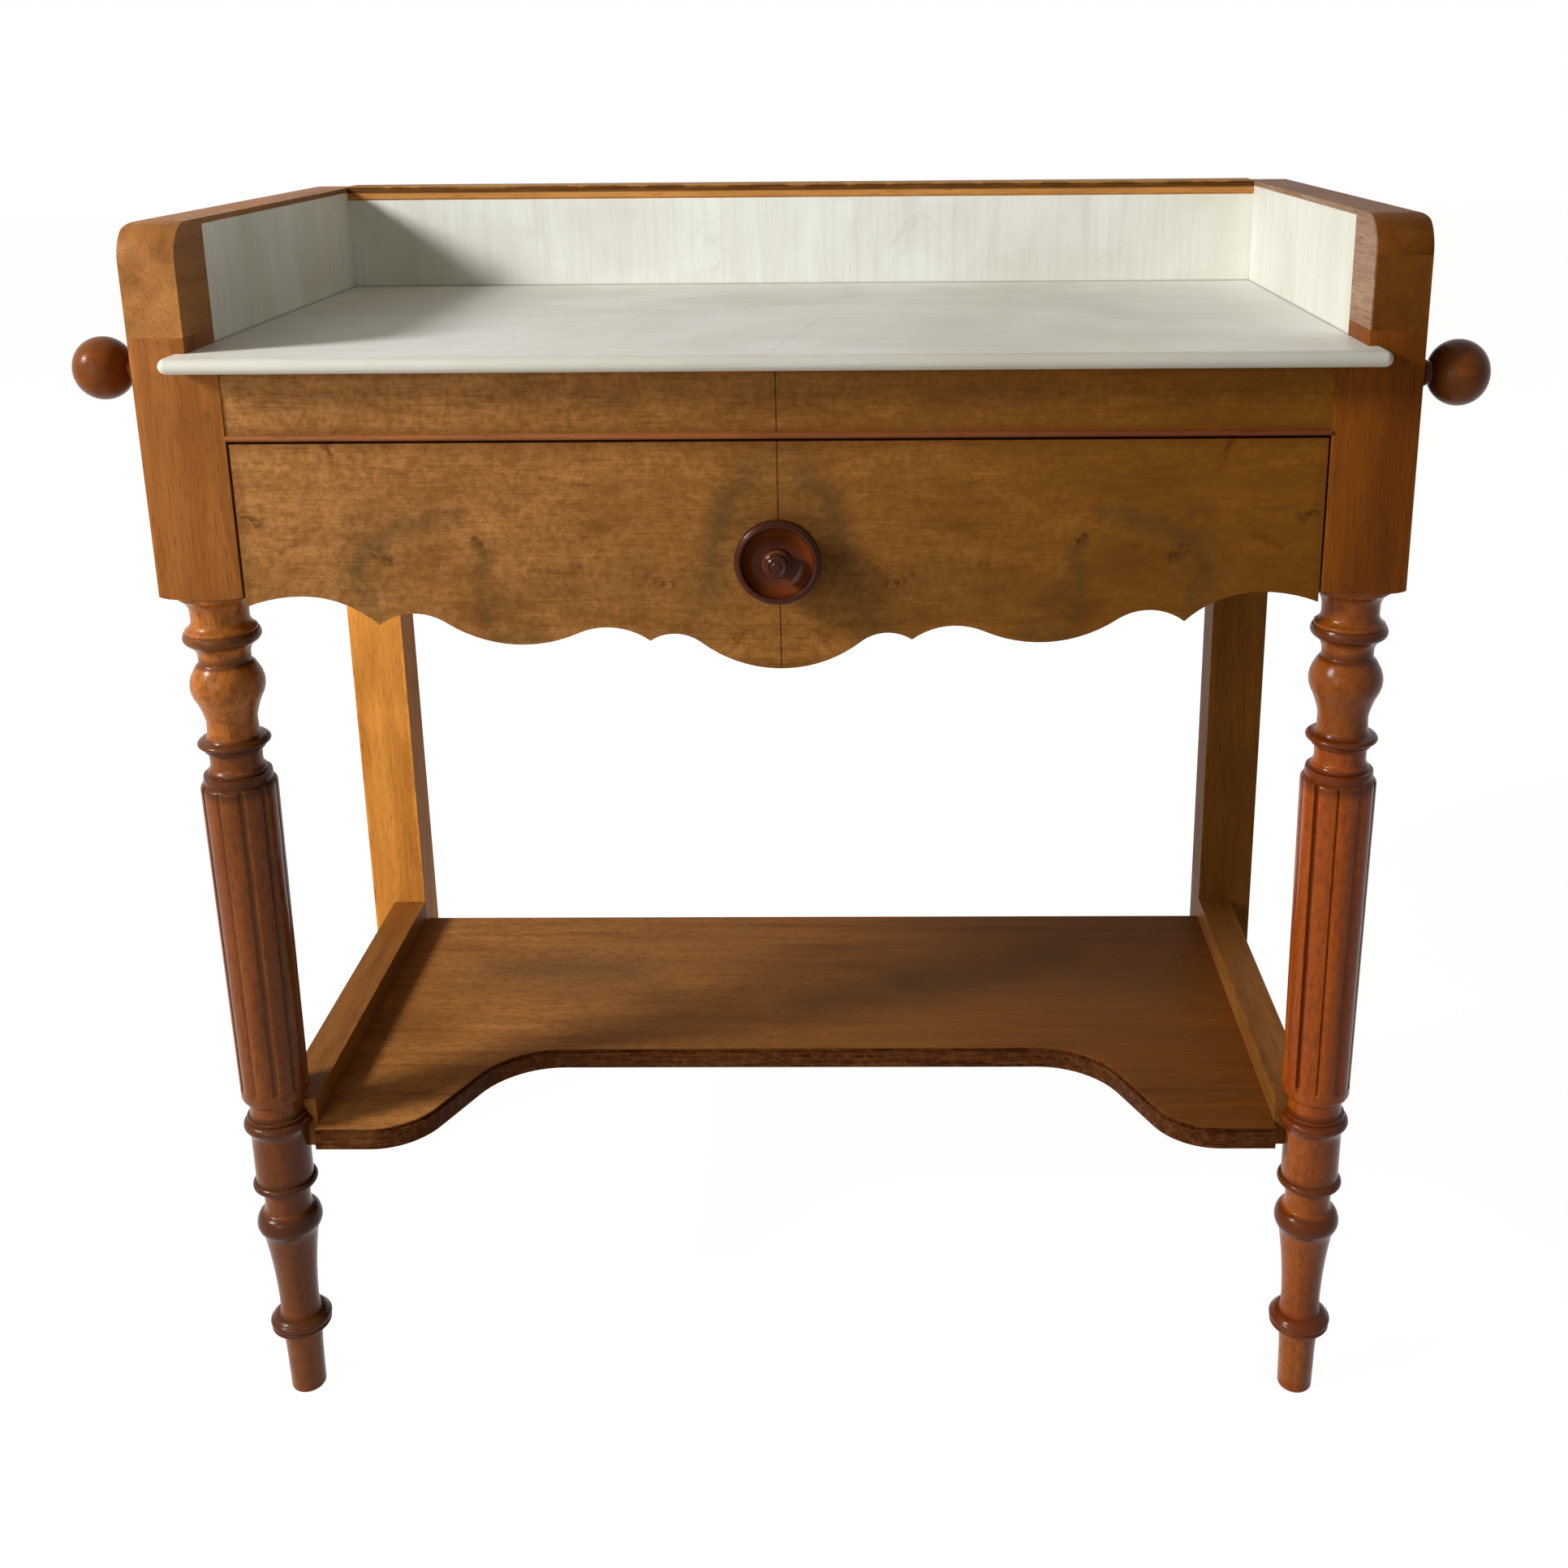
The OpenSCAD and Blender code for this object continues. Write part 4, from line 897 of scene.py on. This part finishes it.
def post_of(node):
    """The square post of a packed leg, merged and cut off where the turning begins."""
    bm = bmesh.new()
    bm.from_mesh(NODES[node].data)
    bmesh.ops.remove_doubles(bm, verts=bm.verts, dist=TOUCH)
    bmesh.ops.bisect_plane(
        bm, geom=bm.verts[:] + bm.edges[:] + bm.faces[:], dist=ON_PLANE,
        plane_co=(0, 0, (POST_LOW - POST_LAP) * MM), plane_no=(0, 0, 1), clear_inner=True)
    bmesh.ops.dissolve_limit(
        bm, angle_limit=math.radians(FLAT_ANGLE), verts=bm.verts, edges=bm.edges)
    corner = math.radians(CORNER_ANGLE)
    corners = [e for e in bm.edges if e.is_manifold and e.calc_face_angle() > corner]
    bmesh.ops.bevel(
        bm, geom=corners, offset=bpy.context.scene.washstand_woods.rounding, affect="EDGES",
        segments=EDGE_STEPS, profile=0.5, material=-1, clamp_overlap=True)
    mesh = bpy.data.meshes.new("post")
    bm.to_mesh(mesh)
    bm.free()
    return mesh


class WASHSTAND_OT_back_frame(bpy.types.Operator):
    """Finish the back legs, the rails and the stretchers"""

    bl_idname = "washstand.back_frame"
    bl_label = "Back legs, rails and stretchers"

    def execute(self, context):
        woods = context.scene.washstand_woods
        plan = [
            ("leg_back_left", "Z", woods.golden[:]),
            ("leg_back_right", "Z", shade(woods.shaded[:], 1.5, 1.75, 1.3)),
            ("side_rail_left", "Y", woods.honey[:]), ("side_rail_right", "Y", woods.brown[:]),
            ("back_rail", "X", woods.shaded[:]),
            ("stretcher_left", "Y", woods.amber[:]), ("stretcher_right", "Y", woods.amber[:]),
        ]
        for seed, (node, grain, colour) in enumerate(plan, SEEDS["frame"]):
            board(node, grain, colour, seed, woods.rounding)
        return {"FINISHED"}


class WASHSTAND_OT_fronts(bpy.types.Operator):
    """Veneer the drawer's front and the frieze, and finish the bead between them"""

    bl_idname = "washstand.fronts"
    bl_label = "Drawer front, frieze and bead"

    def execute(self, context):
        woods = context.scene.washstand_woods
        low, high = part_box("drawer_front")
        middle = (low.x + high.x) / 2
        left, right = woods.veneer_left[:], woods.veneer_right[:]
        dress("drawer_front", veneer("drawer_veneer", left, right, middle, (low, high)), woods.rounding)
        frieze = veneer("frieze_veneer", left, right, middle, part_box("frieze_rail"), smoke=False)
        dress("frieze_rail", frieze)
        # The bead darkens into mahogany towards the right, partly its own tone and partly painted shade.
        dress("cock_bead", grained(
            "bead_wood", "X", shade(left, 0.9, 0.7, 0.7), SEEDS["bead"], other=woods.mahogany[:],
            wax=0.3, shine=0.15))
        return {"FINISHED"}


# Fine cracks in the top slab: from and to a point in millimetres, reach, strength.
CRACKS = [
    ((4, -207, 780), (5, -205, 788), 0.9, 0.6), ((5, -207, 788), (14, -158, 788), 1.0, 0.4),
    ((14, -158, 788), (30, -65, 788), 1.1, 0.35), ((30, -65, 788), (48, 40, 788), 1.3, 0.2),
]
# The side slabs' joints fade out this far in front of them, in metres.
JOINT_FADE = 0.002


class WASHSTAND_OT_marble(bpy.types.Operator):
    """Finish the four marble slabs"""

    bl_idname = "washstand.marble"
    bl_label = "Marble slabs"

    def execute(self, context):
        settings = context.scene.washstand_marble
        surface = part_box("marble_top")[1].z
        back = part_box("marble_back")[0].y
        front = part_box("marble_side_left")[0].y
        left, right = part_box("marble_side_left")[1].x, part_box("marble_side_right")[0].x

        def foot(f):
            """Height of a point above the top slab."""
            return f.math("SUBTRACT", f.split(f.coords)[2], surface)

        def wall(f):
            """Distance of a point on the top slab to the slabs that stand on it."""
            x, y, _ = f.split(f.coords)
            side = f.math("MINIMUM", f.math("SUBTRACT", x, left), f.math("SUBTRACT", right, x))
            ahead = f.span(y, front - JOINT_FADE, front, 1, 0)
            return f.math("MINIMUM", f.math("ADD", side, ahead), f.math("SUBTRACT", back, y))

        # The slabs are one stone, but the grey share differs partly as painted light and shade: the left
        # side slab, which stands in shade, gets none and so is painted lighter, and the right side slab,
        # which the main lamp lights, gets the most and so is painted darker.
        plan = [
            ("marble_top", "X", 0.3, wall, CRACKS), ("marble_back", "Z", 0, foot, ()),
            ("marble_side_left", "Z", 0, foot, ()), ("marble_side_right", "Z", 0.6, foot, ()),
        ]
        for seed, (node, saw_run, grey, joint, cracks) in enumerate(plan, 1):
            material = stone(node + "_stone", settings, seed, saw_run, grey, joint, cracks)
            dress(node, material, settings.rounding)
        return {"FINISHED"}


# The cap rail's darkened top and the painted shadow line under it, and the painted
# glare on the pale inner face of the right gallery side, as places in millimetres
# from the rail's top and the side's inner face.
CAP_TOP = (-0.8, 1)
# Where the painted shadow under the cap moulding lies.
CAP_SHADOW_LINE = (-5.5, -0.8)
INNER_FACE = (-1, 0.9)
PAINTED_GLARE_TONE = tone(154, 124, 102)


class WASHSTAND_OT_gallery(bpy.types.Operator):
    """Finish the gallery's sides, cap rail, back board, dowels and screws"""

    bl_idname = "washstand.gallery"
    bl_label = "Gallery"

    def execute(self, context):
        woods = context.scene.washstand_woods
        golden = woods.golden[:]
        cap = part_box("gallery_back_rail")[1].z / MM
        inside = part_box("gallery_side_right")[0].x / MM
        cap_tone_and_shadow = [
            ("Z", cap + CAP_TOP[0], cap + CAP_TOP[1], 0.4, shade(golden, 0.42, 0.5, 0.6)),
            # Painted shadow: the dark line under the cap moulding.
            ("Z", cap + CAP_SHADOW_LINE[0], cap + CAP_SHADOW_LINE[1], 0.9, shade(golden, 0.12, 0.11, 0.12)),
        ]
        # Painted glare: the right gallery side's inner face is painted pale for the strong light falling on
        # it.
        painted_glare_coats = [("X", inside + INNER_FACE[0], inside + INNER_FACE[1], 0.2, PAINTED_GLARE_TONE)]
        edge = woods.rounding
        plan = [
            ("gallery_side_left", "Y", shade(woods.honey[:], 1.16, 1.38, 1.85), (), edge),
            ("gallery_side_right", "Y", shade(woods.brown[:], 0.86, 1.0, 1.3), painted_glare_coats, edge),
            ("gallery_back_rail", "X", shade(golden, 0.8, 0.88, 1.4), cap_tone_and_shadow, edge),
            ("gallery_back_board", "X", woods.shaded[:], (), 0),
        ]
        for seed, (node, grain, colour, coats, rounding) in enumerate(plan, SEEDS["gallery"]):
            board(node, grain, colour, seed, rounding, coats=coats)
        dress("gallery_dowels", grained("dowel_wood", "Z", woods.inner[:], SEEDS["dowels"], wax=BARE))
        dress("back_board_screws", worn_steel("screw_steel"))
        return {"FINISHED"}


# Smoky stains on the shelf: from and to a point in millimetres, reach, strength.
SHELF_SMOKE = [
    ((-245, 74, 226), (-140, 68, 226), 48, 0.6), ((-260, 40, 226), (-110, 34, 226), 36, 0.35),
    ((22, 12, 226), (75, 24, 226), 46, 0.5), ((100, 46, 226), (225, 84, 226), 62, 0.65),
    ((225, 74, 226), (305, 60, 226), 66, 0.4),
]
# The shelf's edge is dark from this far under its upper face, in millimetres.
EDGE_DROP = 0.8


class WASHSTAND_OT_shelf(bpy.types.Operator):
    """Finish the low shelf"""

    bl_idname = "washstand.shelf"
    bl_label = "Shelf"

    def execute(self, context):
        woods = context.scene.washstand_woods
        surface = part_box("shelf")[1].z / MM
        edge = ("Z", 0, surface - EDGE_DROP, 0.3, shade(woods.mahogany[:], 0.28, 0.18, 0.1))
        # The shelf darkens towards its right end, partly its own tone and partly painted shade.
        dress("shelf", grained(
            "shelf_wood", "X", woods.shelf_left[:], SEEDS["shelf"], other=woods.shelf_right[:],
            mottle=0.4, shine=0.04, soiled=0.6, flecks=0.5, smoke=SHELF_SMOKE, coats=[edge]))
        return {"FINISHED"}


class WASHSTAND_OT_drawer_box(bpy.types.Operator):
    """Finish the drawer's box and the bare wood that guides it and the rods"""

    bl_idname = "washstand.drawer_box"
    bl_label = "Drawer box and guides"

    def execute(self, context):
        woods = context.scene.washstand_woods
        along_x = ["drawer_back", "drawer_bottom"]
        along_y = [
            "drawer_side_left", "drawer_side_right", "drawer_runner_left", "drawer_runner_right",
            "drawer_guide_left", "drawer_guide_right", "drawer_kicker_left", "drawer_kicker_right",
            "drawer_stops", "rod_bearer_left", "rod_bearer_right",
        ]
        plan = [(node, "X") for node in along_x] + [(node, "Y") for node in along_y]
        for seed, (node, grain) in enumerate(plan, SEEDS["drawer_box"]):
            board(node, grain, woods.inner[:], seed, woods.rounding, wax=BARE)
        return {"FINISHED"}


class WASHSTAND_OT_knob(bpy.types.Operator):
    """Turn the drawer's knob"""

    bl_idname = "washstand.knob"
    bl_label = "Drawer knob"

    def execute(self, context):
        woods, turning = context.scene.washstand_woods, context.scene.washstand_turning
        low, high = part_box("drawer_knob")
        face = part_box("drawer_front")[0].y
        bm = turned(bowed([(KNOB_TURNING[0][0], 0, 0)] + KNOB_TURNING), turning.knob_steps)
        patina_and_shade = bm.verts.layers.float.new("patina_and_shade")
        for vert in bm.verts:
            radius = math.hypot(vert.co.x, vert.co.y) / MM
            vert[patina_and_shade] = 0 if DISH[0] <= radius <= DISH[1] else 1
        bmesh.ops.rotate(bm, verts=bm.verts, cent=(0, 0, 0), matrix=Matrix.Rotation(math.pi / 2, 3, "X"))
        centre = Vector(((low.x + high.x) / 2, face, (low.z + high.z) / 2))
        bmesh.ops.translate(bm, verts=bm.verts, vec=centre)
        piece = finished(bm, "drawer_knob_turned", "drawer", "drawer_knob")
        piece.data.materials.append(grained(
            "knob_wood", "X", woods.mahogany[:], SEEDS["knob"], wax=0.14, shine=0.12, worn=True))
        return {"FINISHED"}


class WASHSTAND_OT_towel_rods(bpy.types.Operator):
    """Finish the two pull-out rods, their ball knobs and their pins"""

    bl_idname = "washstand.towel_rods"
    bl_label = "Towel rods"

    def execute(self, context):
        woods = context.scene.washstand_woods
        for number, side in enumerate(("left", "right")):
            dress("towel_rod_" + side, grained(
                f"rod_{side}_wood", "X", woods.inner[:], SEEDS["rods"] + number, wax=0.5))
            dress("rod_knob_" + side, grained(
                f"ball_{side}_wood", "X", woods.ball[:], SEEDS["balls"] + number, mottle=0.75,
                wax=0.2, shine=0.1, soiled=0.6, flecks=0.4))
            dress("rod_pin_" + side, worn_steel(f"pin_{side}_steel"))
        return {"FINISHED"}


# ---- Stage ----

# Width of the camera's picture in millimetres, and half the floor's width in metres.
SENSOR_WIDTH = 36
FLOOR_HALF = 12
# The floor's grey as it lights the piece, and the thin grey on which its shadow shows.
FLOOR_PAINT = 0.7
FLOOR_THIN = 0.17


class WASHSTAND_OT_stage(bpy.types.Operator):
    """Set the camera, the lamps, the room light and the pale floor"""

    bl_idname = "washstand.stage"
    bl_label = "Stage"

    def execute(self, context):
        stage = context.scene.washstand_stage
        set_camera(context.scene, stage)
        aim = Vector(stage.lamp_aim)
        place = aim + Vector(stage.lamp_from).normalized() * stage.lamp_distance
        set_lamp(context.scene, "window", place, aim, stage.lamp_width, stage.lamp_watts)
        middle = (CAD_BOX[0] + CAD_BOX[1]) / 2
        set_lamp(context.scene, "side", Vector(stage.side_place), middle, stage.side_width, stage.side_watts)
        set_room(context.scene, stage)
        set_floor(context.scene, stage)
        context.scene.view_settings.view_transform = "Standard"
        return {"FINISHED"}


def set_camera(scene, stage):
    data = bpy.data.cameras.new("camera")
    data.sensor_fit = "HORIZONTAL"
    data.sensor_width = SENSOR_WIDTH
    data.lens = stage.lens
    data.shift_x, data.shift_y = stage.shift
    camera = bpy.data.objects.new("camera", data)
    forward = Vector((
        math.sin(stage.turn) * math.cos(stage.tilt),
        math.cos(stage.turn) * math.cos(stage.tilt),
        -math.sin(stage.tilt)))
    level = Vector((math.cos(stage.turn), -math.sin(stage.turn), 0))
    upright = level.cross(forward)
    side = math.cos(stage.roll) * level - math.sin(stage.roll) * upright
    top = math.cos(stage.roll) * upright + math.sin(stage.roll) * level
    axes = Matrix((side, top, -forward)).transposed()
    camera.matrix_world = Matrix.Translation(stage.place) @ axes.to_4x4()
    scene.collection.objects.link(camera)
    scene.camera = camera


def set_lamp(scene, name, place, aim, width, watts):
    """Hangs a round lamp at a place, with its face towards the aim."""
    data = bpy.data.lights.new(name, "AREA")
    data.shape = "DISK"
    data.size = width
    data.energy = watts
    lamp = bpy.data.objects.new(name, data)
    lamp.location = place
    lamp.rotation_euler = (place - aim).to_track_quat("Z", "Y").to_euler()
    scene.collection.objects.link(lamp)


def bare_tree(owner):
    """The emptied node tree of a material or a world."""
    owner.use_nodes = True
    owner.node_tree.nodes.clear()
    return owner.node_tree


def shader(tree, kind, **values):
    """A shader's output, with values for its sockets."""
    node = tree.nodes.new(kind)
    for name, value in values.items():
        node.inputs[name].default_value = value
    return node.outputs[0]


def seen_directly(tree):
    """1 for rays from the camera and for reflected and passing rays."""
    path = tree.nodes.new("ShaderNodeLightPath")
    total = path.outputs["Is Camera Ray"]
    for name in ("Is Glossy Ray", "Is Transmission Ray"):
        node = tree.nodes.new("ShaderNodeMath")
        node.operation = "MAXIMUM"
        tree.links.new(total, node.inputs[0])
        tree.links.new(path.outputs[name], node.inputs[1])
        total = node.outputs[0]
    return total


def show_both(tree, output_kind, unseen, seen):
    """Ends a node tree with one shader for bounced light and another for what is seen directly."""
    mix = tree.nodes.new("ShaderNodeMixShader")
    output = tree.nodes.new(output_kind)
    tree.links.new(seen_directly(tree), mix.inputs[0])
    tree.links.new(unseen, mix.inputs[1])
    tree.links.new(seen, mix.inputs[2])
    tree.links.new(mix.outputs[0], output.inputs["Surface"])


def set_room(scene, stage):
    """Even light of its own tone, behind a background that looks white."""
    world = bpy.data.worlds.new("room")
    tree = bare_tree(world)
    even = shader(tree, "ShaderNodeBackground", Color=(*stage.room_tone, 1), Strength=stage.room)
    white = shader(tree, "ShaderNodeBackground", Color=(1, 1, 1, 1), Strength=1)
    show_both(tree, "ShaderNodeOutputWorld", even, white)
    scene.world = world


def set_floor(scene, stage):
    """A wide floor that looks almost white and keeps a soft shadow."""
    bm = bmesh.new()
    bmesh.ops.create_grid(bm, x_segments=1, y_segments=1, size=FLOOR_HALF)
    mesh = bpy.data.meshes.new("floor")
    bm.to_mesh(mesh)
    bm.free()
    floor = bpy.data.objects.new("floor", mesh)
    scene.collection.objects.link(floor)
    material = bpy.data.materials.new("floor_white")
    tree = bare_tree(material)
    paint = shader(tree, "ShaderNodeBsdfDiffuse", Color=(FLOOR_PAINT, FLOOR_PAINT, FLOOR_PAINT, 1))
    thin = shader(tree, "ShaderNodeBsdfDiffuse", Color=(FLOOR_THIN, FLOOR_THIN, FLOOR_THIN, 1))
    glow = shader(tree, "ShaderNodeEmission", Strength=stage.floor_glow)
    both = tree.nodes.new("ShaderNodeAddShader")
    tree.links.new(thin, both.inputs[0])
    tree.links.new(glow, both.inputs[1])
    show_both(tree, "ShaderNodeOutputMaterial", paint, both.outputs[0])
    mesh.materials.append(material)


# ---- Sidebar ----


PIECES = (
    WASHSTAND_OT_front_legs, WASHSTAND_OT_back_frame, WASHSTAND_OT_fronts, WASHSTAND_OT_marble,
    WASHSTAND_OT_gallery, WASHSTAND_OT_shelf, WASHSTAND_OT_drawer_box, WASHSTAND_OT_knob,
    WASHSTAND_OT_towel_rods,
)
SETTINGS = {
    "washstand_stage": StageSettings,
    "washstand_woods": WoodSettings,
    "washstand_marble": MarbleSettings,
    "washstand_turning": TurningSettings,
}


class WASHSTAND_PT_sidebar(bpy.types.Panel):
    """Lists the washstand's pieces and its settings"""

    bl_idname = "WASHSTAND_PT_sidebar"
    bl_label = "Washstand"
    bl_space_type = "VIEW_3D"
    bl_region_type = "UI"
    bl_category = "Washstand"

    def draw(self, context):
        column = self.layout.column(align=True)
        column.operator(WASHSTAND_OT_stage.bl_idname)
        for piece in PIECES:
            column.operator(piece.bl_idname)
        for name in SETTINGS:
            settings = getattr(context.scene, name)
            box = self.layout.box()
            for key in settings.bl_rna.properties.keys():
                if key not in ("rna_type", "name"):
                    box.prop(settings, key)


CLASSES = (*SETTINGS.values(), WASHSTAND_OT_stage, *PIECES, WASHSTAND_PT_sidebar)


def register():
    for cls in CLASSES:
        bpy.utils.register_class(cls)
    for name, settings in SETTINGS.items():
        setattr(bpy.types.Scene, name, PointerProperty(type=settings))


def unregister():
    for name in SETTINGS:
        delattr(bpy.types.Scene, name)
    for cls in reversed(CLASSES):
        bpy.utils.unregister_class(cls)


def main():
    register()
    bpy.ops.washstand.stage()
    bpy.ops.washstand.front_legs()
    bpy.ops.washstand.back_frame()
    bpy.ops.washstand.fronts()
    bpy.ops.washstand.marble()
    bpy.ops.washstand.gallery()
    bpy.ops.washstand.shelf()
    bpy.ops.washstand.drawer_box()
    bpy.ops.washstand.knob()
    bpy.ops.washstand.towel_rods()


if __name__ == "__main__":
    main()
